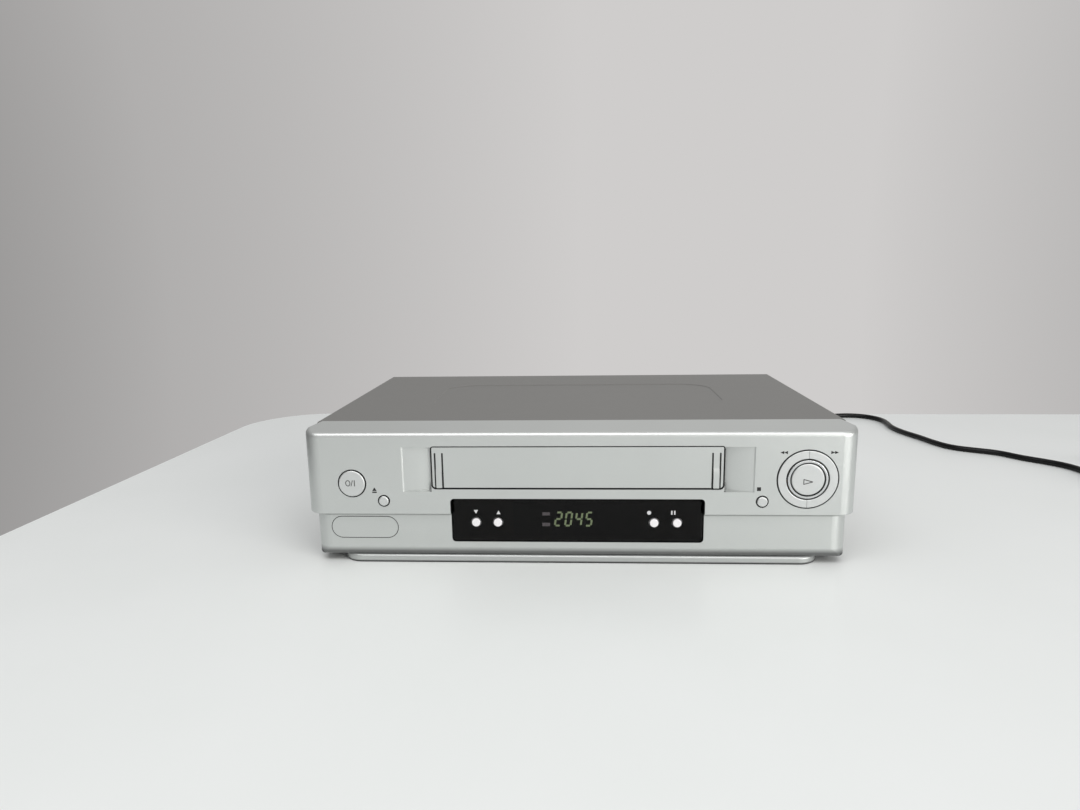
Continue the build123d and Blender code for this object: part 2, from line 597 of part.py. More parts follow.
def cover_screws():
    """Pan-head screws, two through each side of the cover."""
    screws = []
    for d in SCREW_DEPTHS:
        crown = COVER_HALF + SCREW_HEAD
        head = rod_x(d, SCREW_Z, (COVER_HALF, crown), 2 * SCREW_R + 0.1)
        head = fillet(head.edges().group_by(Axis.X)[-1], SCREW_HEAD / 2)
        recess = Pos(crown, FRONT + d, SCREW_Z) * (Box(1.4, 3.4, 0.8) + Box(1.4, 0.8, 3.4))
        shank = rod_x(d, SCREW_Z, (COVER_HALF - 6, COVER_HALF), SCREW_R)
        screw = head - recess + shank
        screws += [screw, mirror(screw, Plane.YZ)]
    return group(screws)


def bottom_plate():
    """Steel base with upturned sides, vents and pillars for the main board."""
    depth = (BEZEL_DEPTH, REAR_INNER)
    plate = block((-LINER_HALF, LINER_HALF), depth, (GROUND_GAP, PLATE_TOP))
    side = block((LINER_HALF - SHEET, LINER_HALF), depth, (GROUND_GAP, 15))
    plate += both_sides(side)
    pillars = []
    for d in (40, DEPTH / 2, DEPTH - 24):
        for x in (12, BOARD_HALF - 8):
            pillars.append(both_sides(post((x, d), (PLATE_TOP, BOARD_Z), 3)))
    plate += pillars
    slot = Box(26, 2.4, 4)
    for x in (-EDGE + 60, 0, EDGE - 60):
        plate -= vent_row(12, DEPTH * 0.3, 5.5, Pos(x + 24, 0, GROUND_GAP) * slot)
    plate -= [rod_x(d, SCREW_Z, (-EDGE, EDGE), SCREW_R + RUNNING) for d in SCREW_DEPTHS]
    return plate


def feet():
    """Two rubber feet under the back of the machine."""
    foot = post((EDGE - 30, DEPTH - 24), (0, GROUND_GAP), 9)
    foot = fillet(foot.edges().group_by(Axis.Z)[0], 0.8)
    return group([foot, mirror(foot, Plane.YZ)])


def chassis_frame():
    """Moulded frame on the bottom plate, with two beams that carry the deck."""
    rear = (REAR_INNER - 3, REAR_INNER)
    front = (BEZEL_DEPTH, BEZEL_DEPTH + 3)
    frame = both_sides(block((RAIL_HALF - 4, RAIL_HALF), (front[0], rear[1]), (PLATE_TOP, 16)))
    frame += block((-RAIL_HALF, RAIL_HALF), front, (PLATE_TOP, 16))
    frame += block((-RAIL_HALF, RAIL_HALF), rear, (PLATE_TOP, BOARD_TOP - 0.1))
    beam_x = (DECK_HALF - 4, DECK_HALF - 0.5)
    frame += both_sides(block(beam_x, (front[0], rear[1]), (BOARD_TOP + 0.6, DECK_Z)))
    frame += both_sides(block(beam_x, rear, (PLATE_TOP, DECK_Z)))
    screw_clearance = [rod_x(d, SCREW_Z, (-EDGE, EDGE), SCREW_R + 0.2) for d in SCREW_DEPTHS]
    outside = both_sides(block((RAIL_HALF - 5, EDGE), (0, DEPTH), (0, 20)))
    return frame - [hole & outside for hole in screw_clearance]


def rear_panel():
    """Moulded back with openings for every connector and the cord."""
    panel = block((-LINER_HALF, LINER_HALF), (REAR_INNER, REAR_FACE), (PLATE_TOP, HEIGHT - SHEET - 0.1))
    panel = fillet(panel.edges().filter_by(Axis.Y).group_by(Axis.Z)[-1], 2.5)
    through = (REAR_INNER - 1, REAR_FACE + 1)
    for z in SCART_ZS:
        panel -= front_plate((SCART_X - SCART_WIDTH / 2 - 0.4, SCART_X + SCART_WIDTH / 2 + 0.4),
                             (z - SCART_HEIGHT / 2 - 0.4, z + SCART_HEIGHT / 2 + 0.4), through, 1.5)
    panel -= [rod_d(x, TUNER_JACK_Z, through, 6.0) for x in TUNER_JACKS]
    panel -= [rod_d(x, AUDIO_Z, through, 5.2) for x in AUDIO_XS]
    panel -= rod_d(GLAND_X, GLAND_Z, through, 5.5)
    for n in range(14):
        panel -= block((n * 7 - 47, n * 7 - 44), through, (HEIGHT - 34, HEIGHT - 16))
    label = block((10, 74), (REAR_FACE - 0.3, REAR_FACE + 1), (34, 54))
    return panel - label


# ---------------------------------------------------------------- connectors
def scart_sockets():
    """Two sockets of 21 contacts, one above the other, on the main board."""
    half = SCART_WIDTH / 2
    sockets = block((SCART_X - half, SCART_X + half), (REAR_FACE - 20, REAR_FACE - 13),
                    (BOARD_TOP, SCART_ZS[1] + SCART_HEIGHT / 2))
    for z in SCART_ZS:
        high = z + SCART_HEIGHT / 2
        low = z - SCART_HEIGHT / 2
        shell_d = (REAR_FACE - 13.5, DEPTH)
        shell = front_plate((SCART_X - half, SCART_X + half), (low, high), shell_d, 1.2)
        shell -= front_plate((SCART_X - half + 0.9, SCART_X + half - 0.9), (low + 0.9, high - 0.9),
                             (shell_d[0] + 0.6, DEPTH + 1), 0.8)
        core = front_plate((SCART_X - half + 2.5, SCART_X + half - 2.5), (low + 2.5, high - 2.5),
                           (shell_d[0], DEPTH - 1), 0.8)
        for n in range(10):
            upper = SCART_X - 18.6 + n * 3.8
            lower = upper + 1.9
            core -= block((upper, upper + 1.4), (DEPTH - 6, DEPTH), (z + 1.2, z + 4))
            core -= block((lower, lower + 1.4), (DEPTH - 6, DEPTH), (z - 4, z - 1.2))
        sockets += shell + core
    return sockets


def tuner():
    """Shielded tuner can with an aerial socket and an aerial output plug."""
    can = block((TUNER_JACKS[0] - 10, TUNER_JACKS[1] + 10), (REAR_INNER - 45, REAR_INNER - 0.2),
                (BOARD_TOP, TUNER_JACK_Z + 9))
    inlet, outlet = TUNER_JACKS
    tip = DEPTH + JACK_REACH
    barrel = rod_d(inlet, TUNER_JACK_Z, (REAR_INNER - 0.5, tip), 5.6)
    barrel -= rod_d(inlet, TUNER_JACK_Z, (REAR_FACE - 1, tip + 1), AERIAL_BORE_R)
    contact = rod_d(inlet, TUNER_JACK_Z, (REAR_FACE - 1.5, tip - 2.5), 1.9)
    contact -= rod_d(inlet, TUNER_JACK_Z, (REAR_FACE, tip), 1.2)
    sleeve = rod_d(outlet, TUNER_JACK_Z, (REAR_INNER - 0.5, tip), AERIAL_PLUG_R)
    sleeve -= rod_d(outlet, TUNER_JACK_Z, (REAR_FACE, tip + 1), AERIAL_PLUG_R - 0.6)
    needle = rod_d(outlet, TUNER_JACK_Z, (REAR_FACE - 0.5, tip - 0.5), 1.17)
    return can + barrel + contact + sleeve + needle


def audio_jacks():
    """Pair of phono sockets on a moulded block."""
    jacks = block((AUDIO_XS[0] - 8, AUDIO_XS[1] + 8), (REAR_INNER - 12, REAR_INNER - 0.2),
                  (BOARD_TOP, AUDIO_Z + 7))
    for x in AUDIO_XS:
        jacks += rod_d(x, AUDIO_Z, (REAR_INNER - 0.5, REAR_FACE + 0.6), 5.0)
        jacks += rod_d(x, AUDIO_Z, (REAR_INNER - 0.5, REAR_FACE + AUDIO_REACH), AUDIO_R)
        jacks -= rod_d(x, AUDIO_Z, (REAR_FACE, REAR_FACE + 20), 1.65)
        jacks -= rod_d(x, AUDIO_Z, (REAR_FACE + AUDIO_REACH - 5, REAR_FACE + 20), AUDIO_R - 0.7)
        core = rod_d(x, AUDIO_Z, (REAR_FACE + AUDIO_REACH - 5.1, REAR_FACE + AUDIO_REACH - 0.4), 2.6)
        jacks += core - rod_d(x, AUDIO_Z, (REAR_FACE, REAR_FACE + 20), 1.65)
    return jacks


def cord_gland():
    """Strain relief clipped into the back panel around the cord."""
    tail_d = (REAR_FACE, DEPTH + GLAND_REACH)
    gland = rod_d(GLAND_X, GLAND_Z, (REAR_INNER - 1.5, REAR_FACE), 5.3)
    gland += rod_d(GLAND_X, GLAND_Z, (REAR_INNER - 2.7, REAR_INNER - 0.1), 6.2)
    gland += rod_d(GLAND_X, GLAND_Z, (REAR_FACE + 0.1, REAR_FACE + 2.1), 7.4)
    tail = Pos(GLAND_X, FRONT + sum(tail_d) / 2, GLAND_Z) * Rot(-90, 0, 0)
    return gland + tail * Cone(5.0, 3.6, tail_d[1] - tail_d[0])


# ---------------------------------------------------------------- mains cord
def cord_corners():
    """The route as vectors and the bend radius at each corner."""
    points = [Vector(x, FRONT + d, z) for x, d, z in CORD_ROUTE]
    radii = []
    for before, here, after in zip(points, points[1:], points[2:]):
        arriving = here - before
        leaving = after - here
        turn = radians(arriving.get_angle(leaving))
        radii.append(0.45 * min(arriving.length, leaving.length) / tan(turn / 2))
    return points, radii


def mains_cord():
    points, radii = cord_corners()
    path = FilletPolyline(*points, radius=radii)
    section = Plane(origin=points[0], z_dir=points[1] - points[0]) * Circle(CORD_R)
    cord = sweep(section, path)
    expected = pi * CORD_R ** 2 * path.length
    print("cord bend radii", [round(radius, 1) for radius in radii])
    print("cord length", round(path.length, 1), "volume against expected", cord.volume / expected)
    return cord


def cord_coil():
    """Outer shape of the spare turns, with the cord's two ends leaving along tangents."""
    across_ring = Plane.XZ * Pos(COIL_R, COIL_HEIGHT / 2) * RectangleRounded(
        2 * COIL_HALF_WIDTH, COIL_HEIGHT, CORD_R)
    ring = Pos(COIL_X, FRONT + COIL_D, 0) * revolve(across_ring, Axis.Z)
    lead_in = rod_d(COIL_X - COIL_R, CORD_REST_Z, (COIL_D, CORD_END[1]), CORD_R)
    lead_out = rod_d(COIL_X + COIL_R, PLUG_Z, (COIL_D, PLUG_D), CORD_R)
    return ring + lead_in + lead_out


def mains_plug():
    """Flat two-pin plug lying on its side at the end of the coil."""
    x = COIL_X + COIL_R
    nose = PLUG_D + 36
    outline = plan([(x - 17.6, nose), (x - 17.6, PLUG_D + 22), (x - 8, PLUG_D + 8), (x - 5.5, PLUG_D),
                    (x + 5.5, PLUG_D), (x + 8, PLUG_D + 8), (x + 17.6, PLUG_D + 22), (x + 17.6, nose)])
    body = raise_plan(fillet(outline.vertices(), 2.5), (0, 2 * PLUG_Z))
    body = chamfer(body.faces().sort_by(Axis.Z)[-1].edges(), 1.5)
    body = chamfer(body.faces().sort_by(Axis.Z)[0].edges(), 1.5)
    for side in (-1, 1):
        pin_x = x + side * PLUG_PIN_SPACING / 2
        pin = rod_d(pin_x, PLUG_Z, (nose - 2, nose + PLUG_PIN_LENGTH), 2.0)
        body += fillet(pin.edges().group_by(Axis.Y)[-1], 1.2)
    return body


# ---------------------------------------------------------------- electronics
def main_board():
    """Single circuit board over the whole base."""
    return block((-BOARD_HALF, BOARD_HALF), (BEZEL_DEPTH + 4, REAR_INNER - 4), (BOARD_Z, BOARD_TOP))


def capacitor(place, radius, height):
    can = post(place, (BOARD_TOP, BOARD_TOP + height), radius)
    return fillet(can.edges().group_by(Axis.Z)[-1], 0.6)


def chip(x, d, width, depth, height):
    return block((x, x + width), (d, d + depth), (BOARD_TOP, BOARD_TOP + height))


def board_components():
    """Capacitors, chips, coils and connectors soldered to the main board."""
    left = 14 - EDGE
    right = EDGE - 14
    parts = [capacitor((right - 32, DEPTH - 58), 11, 31)]
    parts += [capacitor((right - 50 + 14 * n, 82), 5, 18 - 3 * n) for n in range(3)]
    parts += [capacitor((right - 14, DEPTH - 60 + 13 * n), 4, 12) for n in range(3)]
    parts += [capacitor((left + 6 + 13 * n, 40), 3.2, 11) for n in range(4)]
    parts += [capacitor((left + 8 + 11 * n, DEPTH - 62), 2.6, 8) for n in range(4)]
    parts += [chip(left + 4, 60, 34, 14, 3.6), chip(left + 6, 92, 16, 16, 2.4)]
    parts += [chip(left + 30, 92, 20, 9, 3.2), chip(left + 8, 124, 26, 9, 3.6)]
    parts += [chip(left + 40, 120, 11, 20, 9), chip(left + 6, 140, 10, 6, 4)]
    parts += [chip(right - 52, 36, 22, 8, 14), chip(right - 22, 40, 8, 20, 6)]
    parts += [chip(right - 54, DEPTH - 48, 8, 24, 12), chip(-60, 40, 24, 12, 3)]
    parts += [chip(20, 40, 30, 10, 3), chip(-20, 34, 12, 24, 2.6)]
    return group(parts)


def power_transformer():
    """Ferrite core around a wound bobbin."""
    x, d = EDGE - 52, 118
    core = block((x - 16, x + 16), (d - 8, d + 8), (BOARD_TOP + 3, BOARD_TOP + 31))
    window = block((x - 10, x + 10), (d - 9, d + 9), (BOARD_TOP + 9, BOARD_TOP + 25))
    winding = block((x - 9.8, x + 9.8), (d - 14, d + 14), (BOARD_TOP + 9.2, BOARD_TOP + 24.8))
    base = block((x - 15, x + 15), (d - 13, d + 13), (BOARD_TOP, BOARD_TOP + 3))
    winding = fillet(winding.edges().filter_by(Axis.X), 3)
    return (core - window) + winding + base


def heat_sink():
    """Finned aluminium plate beside the power supply."""
    x = EDGE - 26
    sink = block((x, x + 2), (90, 150), (BOARD_TOP, BOARD_TOP + 38))
    fins = [block((x, x + 8), (92 + 8 * n, 93.2 + 8 * n), (BOARD_TOP + 4, BOARD_TOP + 38)) for n in range(8)]
    return sink + fins


def timer_board():
    """Upright board behind the front panel, cut away around the cassette slot."""
    half = EDGE - 12
    depth = (TIMER_BOARD_D, TIMER_BOARD_D + BOARD_THICK)
    low = PANEL_LOW + PANEL_WALL + 0.3
    board = block((-half, half), depth, (low, SLOT_LOW - PANEL_WALL - 1.5))
    return board + both_sides(block((SLOT_HALF + 5, half), depth, (low, SLOT_HIGH - 2)))


def fluorescent_display():
    """Glass display tube on the timer board."""
    tube = block((-42, 42), (WINDOW_BACK + WINDOW_FLANGE + 0.9, TIMER_BOARD_D), (18, 40))
    tip = rod_x(TIMER_BOARD_D - 2.2, 22, (42, 45), 1.4)
    return tube + tip


def switch_places():
    """Where the ten push switches stand: x and z."""
    places = [(STANDBY_X, STANDBY_Z), (EJECT_X, SMALL_Z), (STOP_X, SMALL_Z), (PLAY_X, PLAY_Z)]
    places += [(PLAY_X - SHUTTLE_STEM, PLAY_Z), (PLAY_X + SHUTTLE_STEM, PLAY_Z)]
    return places + [(x, KEY_Z) for x in KEY_XS]


def tact_switches():
    switches = []
    for x, z in switch_places():
        body = block((x - 3, x + 3), (SWITCH_BODY, TIMER_BOARD_D), (z - 3, z + 3))
        switches.append(body + rod_d(x, z, (SWITCH_TIP, SWITCH_BODY), 1.7))
    return group(switches)


def head_amplifier_can():
    """Small screening can on the deck beside the drum."""
    can = block((66, 97), (153, 178), (DECK_TOP, DECK_TOP + 14))
    vents = [block((70, 93), (158 + 5 * n, 160 + 5 * n), (DECK_TOP + 13, DECK_TOP + 15)) for n in range(4)]
    return can - vents


# ---------------------------------------------------------------- tape deck
def deck_plate():
    """Steel deck with guide slots, reel posts, pivots and the capstan's bush."""
    rear = DRUM_D + DRUM_R + 3
    points = [(-DECK_HALF, 24), (DECK_HALF, 24), (DECK_HALF, 180), (50, 180), (50, rear), (-50, rear)]
    points += [(-50, 160), (-DECK_HALF, 160)]
    level = (DECK_Z, DECK_TOP)
    deck = raise_plan(plan(points), level)
    deck -= both_sides(arm(GUIDE_REST, GUIDE_LOADED, (DECK_Z - 1, DECK_TOP + 1), 2 * GUIDE_NECK_R + 0.3))
    deck -= post(CLUTCH, (DECK_Z - 1, DECK_TOP + 1), CLUTCH_SHAFT_R + RUNNING)
    deck -= post(PINION, (DECK_Z - 1, DECK_TOP + 1), 1.4)
    deck += both_sides(post((REEL_SPACING / 2, REEL_D), (DECK_Z, REEL_TOP - 1.5), PIVOT_R))
    deck += post(PINCH_PIVOT, (DECK_Z, DECK_TOP + 5), PIVOT_R)
    deck += post(TENSION_PIVOT, (DECK_Z, DECK_TOP + 5), PIVOT_R)
    deck += post(CAM, (CAM_Z[0] - 1.5, DECK_Z), 3.0)
    deck += post(CAPSTAN, (DECK_Z - 1, DECK_TOP + 5), CAPSTAN_BUSH_R)
    deck -= post(CAPSTAN, (DECK_Z - 2, DECK_TOP + 6), CAPSTAN_R + RUNNING)
    return deck


def lower_drum():
    """Fixed lower half of the head drum, bored for the rotor's shaft."""
    middle = (0, DRUM_D)
    drum = post(middle, (DECK_TOP, DECK_TOP + 2.5), DRUM_R + 1.5)
    drum += post(middle, (DECK_TOP, DRUM_LOW_TOP), DRUM_R)
    return drum - post(middle, (DECK_TOP - 1, DRUM_LOW_TOP + 1), 3 + RUNNING)


def upper_drum():
    """Rotating half of the drum with two head windows, its shaft and its motor rotor."""
    middle = (0, DRUM_D)
    base = DRUM_LOW_TOP + GAP_WIDTH
    drum = post(middle, (base, base + 17), DRUM_R)
    drum += post(middle, (base + 17, base + 22), DRUM_R - 7)
    for side in (-1, 1):
        drum -= block((side * (DRUM_R - 3), side * (DRUM_R + 1)), (DRUM_D - 2, DRUM_D + 2), (base - 1, base + 2))
        drum += block((side * (DRUM_R - 3.2), side * (DRUM_R - 0.4)), (DRUM_D - 0.6, DRUM_D + 0.6),
                      (base, base + 2.2))
    return drum + post(middle, (DECK_TOP + 1, base), 3)


def capstan():
    """Capstan shaft with its flywheel and belt pulley under the deck."""
    wheel_z = (BOARD_TOP + 3.9, BOARD_TOP + 8.9)
    pulley_top = DECK_Z - 1.5
    parts = post(CAPSTAN, (wheel_z[0] - 0.5, DECK_TOP + 29.5), CAPSTAN_R)
    parts += post(CAPSTAN, wheel_z, FLYWHEEL_R)
    parts += post(CAPSTAN, (wheel_z[1], pulley_top), CAPSTAN_PULLEY_R)
    parts += post(CAPSTAN, (pulley_top - 0.5, pulley_top), CAPSTAN_PULLEY_R + 1.5)
    return parts


def capstan_stator():
    """Coil board under the flywheel, hung from the deck by three pillars."""
    base = BOARD_TOP + 0.8
    stator = post(CAPSTAN, (base, base + 1.2), FLYWHEEL_R + 1)
    for n in range(6):
        angle = n * pi / 3
        place = (CAPSTAN[0] + 14 * cos(angle), CAPSTAN[1] + 14 * sin(angle))
        stator += post(place, (base + 1.2, base + 2.4), 5) - post(place, (base + 1.2, base + 2.4), 2)
    for angle in (0, pi / 2, -pi / 3):
        reach = FLYWHEEL_R + 3
        place = (CAPSTAN[0] + reach * cos(angle), CAPSTAN[1] + reach * sin(angle))
        stator += arm(CAPSTAN, place, (base, base + 1.2), 6)
        stator += post(place, (base, DECK_Z), 1.8)
    return stator - post(CAPSTAN, (base - 1, base + 3), 4)


def belt_outline(extra):
    """Face inside a loop around the capstan and clutch pulleys, grown by extra."""
    start_r = CAPSTAN_PULLEY_R + extra
    end_r = CLUTCH_PULLEY_R + extra
    run = hypot(CLUTCH[0] - CAPSTAN[0], CLUTCH[1] - CAPSTAN[1])
    heading = atan2(CLUTCH[1] - CAPSTAN[1], CLUTCH[0] - CAPSTAN[0])
    lean = pi / 2 + asin((end_r - start_r) / run)

    def on_pulley(centre, radius, turn):
        x = centre[0] + radius * cos(heading + turn)
        return (x, FRONT + centre[1] + radius * sin(heading + turn))

    capstan_arc = [on_pulley(CAPSTAN, start_r, turn) for turn in (-lean, pi, lean)]
    clutch_arc = [on_pulley(CLUTCH, end_r, turn) for turn in (lean, 0, -lean)]
    edge = ThreePointArc(*capstan_arc) + Line(capstan_arc[-1], clutch_arc[0])
    edge += ThreePointArc(*clutch_arc) + Line(clutch_arc[-1], capstan_arc[0])
    return make_face(edge)


def drive_belt():
    """Flat rubber belt from the capstan to the reel clutch."""
    return raise_plan(belt_outline(RUNNING + 1.2) - belt_outline(RUNNING), (DECK_Z - 4.6, DECK_Z - 2.2))


def clutch_pulley():
    """Belt pulley under the deck and friction wheel above it, on one shaft."""
    pulley_z = (DECK_Z - 5.2, DECK_Z - 1.2)
    clutch = post(CLUTCH, pulley_z, CLUTCH_PULLEY_R)
    clutch += post(CLUTCH, (pulley_z[0], pulley_z[0] + 0.5), CLUTCH_PULLEY_R + 1.5)
    clutch += post(CLUTCH, (pulley_z[1] - 0.5, pulley_z[1]), CLUTCH_PULLEY_R + 1.5)
    clutch += post(CLUTCH, (pulley_z[1], WHEEL_Z[1] + 2.2), CLUTCH_SHAFT_R)
    return clutch + post(CLUTCH, WHEEL_Z, CLUTCH_WHEEL_R)


def idler_arm():
    """Swinging arm on the clutch shaft that carries the idler wheel."""
    lever = arm(CLUTCH, IDLER, (WHEEL_Z[1] + 0.3, WHEEL_Z[1] + 1.5), 8)
    lever += post(IDLER, (WHEEL_Z[0] - 0.6, WHEEL_Z[1] + 0.5), PIN_R)
    return lever - post(CLUTCH, (WHEEL_Z[1], WHEEL_Z[1] + 3), CLUTCH_SHAFT_R + RUNNING)


def idler_wheel():
    wheel = post(IDLER, WHEEL_Z, IDLER_R)
    return wheel - post(IDLER, (WHEEL_Z[0] - 1, WHEEL_Z[1] + 1), PIN_R + RUNNING)


def reel_table(side):
    """Reel table with a splined spindle that turns on a fixed post."""
    place = (side * REEL_SPACING / 2, REEL_D)
    reel = post(place, (WHEEL_Z[0], WHEEL_Z[1] + 0.5), REEL_RIM_R)
    reel += post(place, (DECK_TOP + 0.3, WHEEL_Z[1] + 3), 11)
    reel += post(place, (WHEEL_Z[1] + 3, REEL_TOP), 7.6)
    for n in range(6):
        spline = Pos(8.2, 0, 0) * Box(2.2, 2, REEL_TOP - WHEEL_Z[1] - 4)
        centre = Pos(place[0], FRONT + place[1], (WHEEL_Z[1] + 2 + REEL_TOP) / 2)
        reel += centre * Rot(0, 0, 60 * n) * spline
    return reel - post(place, (DECK_TOP, REEL_TOP - 1.2), PIVOT_R + RUNNING)


def pinch_arm():
    """Lever that presses the pinch roller on the capstan."""
    lever = arm(PINCH_PIVOT, PINCH_REST, (DECK_TOP + 0.5, DECK_TOP + 2.5), 8)
    lever += post(PINCH_PIVOT, (DECK_TOP + 0.5, DECK_TOP + 4.5), 5)
    lever += post(PINCH_REST, (DECK_TOP + 0.5, DECK_TOP + 24), 2)
    return lever - post(PINCH_PIVOT, (DECK_TOP, DECK_TOP + 6), PIVOT_R + RUNNING)


def pinch_roller():
    roller = post(PINCH_REST, (DECK_TOP + 5.5, DECK_TOP + 22.5), PINCH_R)
    return roller - post(PINCH_REST, (DECK_TOP, DECK_TOP + 25), 2 + RUNNING)


def tape_guide(side):
    """Roller guide on a boat that slides along the deck's slot."""
    place = (side * GUIDE_REST[0], GUIDE_REST[1])
    guide = post(place, (DECK_Z - 0.5, DECK_TOP + 0.5), GUIDE_NECK_R)
    guide += post(place, (DECK_Z - 1.2, DECK_Z - 0.3), GUIDE_NECK_R + 1.5)
    guide += post(place, (DECK_TOP + 0.3, DECK_TOP + 3), 5)
    guide += post(place, (DECK_TOP + 3, DECK_TOP + 24), 1.6)
    guide += post(place, (DECK_TOP + 6, DECK_TOP + 20), 3)
    return guide + post(place, (DECK_TOP + 20, DECK_TOP + 21), 4.2)


def tension_arm():
    """Lever with the post that senses the tape's tension."""
    lever = arm(TENSION_PIVOT, TENSION_POST, (DECK_TOP + 0.5, DECK_TOP + 2), 6)
    lever += post(TENSION_PIVOT, (DECK_TOP + 0.5, DECK_TOP + 4), 4.5)
    lever += post(TENSION_POST, (DECK_TOP + 0.5, DECK_TOP + 23), 1.6)
    return lever - post(TENSION_PIVOT, (DECK_TOP, DECK_TOP + 6), PIVOT_R + RUNNING)


def tape_head(place, width, depth):
    """A tape head on its stand."""
    x, d = place
    head = block((x - width / 2, x + width / 2), (d - depth / 2, d + depth / 2), (DECK_TOP + 6, DECK_TOP + 22))
    head = fillet(head.edges().filter_by(Axis.Z), 1.5)
    return head + post(place, (DECK_TOP, DECK_TOP + 6), 3)


# ---------------------------------------------------------------- loading gears
def involute(angle):
    return tan(angle) - angle


def gear(centre, teeth, first_tooth, z, bore_r):
    """Spur gear with one tooth centred on the direction first_tooth, in radians."""
    pitch_r = GEAR_MODULE * teeth / 2
    base_r = pitch_r * cos(PRESSURE_ANGLE)
    root_r = pitch_r - 1.1 * GEAR_MODULE
    tip_r = pitch_r + 0.8 * GEAR_MODULE
    flank_r = max(root_r, base_r)
    at_pitch = pi / (2 * teeth) - BACKLASH / 4 / pitch_r + involute(PRESSURE_ANGLE)
    flank = []
    if root_r < base_r:
        flank.append((root_r, at_pitch))
    for step in range(4):
        radius = flank_r + (tip_r - flank_r) * step / 3
        flank.append((radius, at_pitch - involute(acos(min(1, base_r / radius)))))
    outline = []
    for tooth in range(teeth):
        middle = first_tooth + 2 * pi * tooth / teeth
        outline += [(radius, middle - half) for radius, half in flank]
        outline += [(radius, middle + half) for radius, half in reversed(flank)]
    points = [(centre[0] + r * cos(a), centre[1] + r * sin(a)) for r, a in outline]
    return raise_plan(plan(points), z) - post(centre, (z[0] - 1, z[1] + 1), bore_r)


def cam_gear():
    """Mode gear under the deck with its cam track."""
    bearing = radians(PINION_BEARING)
    wheel = gear(CAM, CAM_TEETH, bearing, CAM_Z, 3 + RUNNING)
    track = post((CAM[0] + 3, CAM[1]), (CAM_Z[0] - 1, CAM_Z[0] + 1.5), 14)
    track -= post((CAM[0] + 3, CAM[1]), (CAM_Z[0] - 2, CAM_Z[0] + 2), 11)
    return wheel - track


def loading_pinion():
    """Pinion on the loading motor's shaft."""
    first = radians(PINION_BEARING) + pi + pi / PINION_TEETH
    pinion = gear(PINION, PINION_TEETH, first, CAM_Z, 0.9)
    return pinion + post(PINION, (CAM_Z[0], DECK_TOP + 2.5), 1.0)


def loading_motor():
    """Small motor upright on the deck."""
    motor = post(PINION, (DECK_TOP, DECK_TOP + 20), 9)
    motor += post(PINION, (DECK_TOP + 20, DECK_TOP + 21.5), 4)
    return motor - post(PINION, (DECK_TOP - 1, DECK_TOP + 4), 1.0 + RUNNING)


# ---------------------------------------------------------------- cassette loader
def loader_frame():
    """Fixed side plates with level slots, joined over the top."""
    outer = FRAME_IN + FRAME_SHEET
    top = SLOT_HIGH + 7.2
    side = block((FRAME_IN, outer), (16, 135), (DECK_TOP, top))
    slot_d = (HOLDER_PINS[0], HOLDER_PINS[1] + LOADER_TRAVEL)
    width = PIN_R + RUNNING
    side -= block((FRAME_IN - 1, outer + 1), slot_d, (SLIDE_PIN_Z - width, SLIDE_PIN_Z + width))
    side -= [rod_x(d, SLIDE_PIN_Z, (FRAME_IN - 1, outer + 1), width) for d in slot_d]
    side -= block((FRAME_IN - 1, outer + 1), (36, 115), (DECK_TOP + 12, DECK_TOP + 36))
    side += block((outer, DECK_HALF), (20, 130), (DECK_TOP, DECK_TOP + FRAME_SHEET))
    frame = both_sides(side)
    for d in ((40, 52), (122, 134)):
        frame += block((-outer, outer), d, (top - FRAME_SHEET, top))
    return frame


def loader_slide():
    """Carriage that runs back in the fixed plates and lets the holder sink."""
    outer = SLIDE_IN + SHEET
    side = block((SLIDE_IN, outer), (HOLDER_FRONT + 6, HOLDER_FRONT + 60),
                 (HOLDER_PIN_Z - HOLDER_DROP - 4, SLOT_HIGH + 3.7))
    width = PIN_R + RUNNING
    for d in HOLDER_PINS:
        side -= block((SLIDE_IN - 1, outer + 1), (d - width, d + width), (HOLDER_PIN_Z - HOLDER_DROP, HOLDER_PIN_Z))
        for z in (HOLDER_PIN_Z - HOLDER_DROP, HOLDER_PIN_Z):
            side -= rod_x(d, z, (SLIDE_IN - 1, outer + 1), width)
        side += rod_x(d, SLIDE_PIN_Z, (outer, FRAME_IN + FRAME_SHEET), PIN_R)
    slide = both_sides(side)
    return slide + block((-outer, outer), (52, 64), (SLOT_HIGH + 2.5, SLOT_HIGH + 3.7))


def cassette_holder():
    """Sheet cage that takes the cassette: two floor strips, sides and a short roof."""
    back = HOLDER_FRONT + HOLDER_LENGTH
    floor_z = (CASSETTE_Z - SHEET, CASSETTE_Z)
    roof_z = (CASSETTE_TOP + 0.6, CASSETTE_TOP + 0.6 + SHEET)
    inner = HOLDER_OUT - SHEET
    side = block((inner, HOLDER_OUT), (HOLDER_FRONT, back), (floor_z[0], roof_z[1]))
    side += block((CASSETTE_WIDTH / 2 - 18.5, HOLDER_OUT), (HOLDER_FRONT, back), floor_z)
    side += block((CASSETTE_WIDTH / 2 + 0.9, inner), (38, back), (CASSETTE_Z + 5, CASSETTE_Z + 7))
    side += [rod_x(d, HOLDER_PIN_Z, (HOLDER_OUT - 0.4, SLIDE_IN + SHEET - 0.1), PIN_R) for d in HOLDER_PINS]
    holder = both_sides(side) + block((-HOLDER_OUT, HOLDER_OUT), (38, back), roof_z)
    window = block((-50, 50), (46, back - 8), (roof_z[0] - 1, roof_z[1] + 1))
    return holder - window


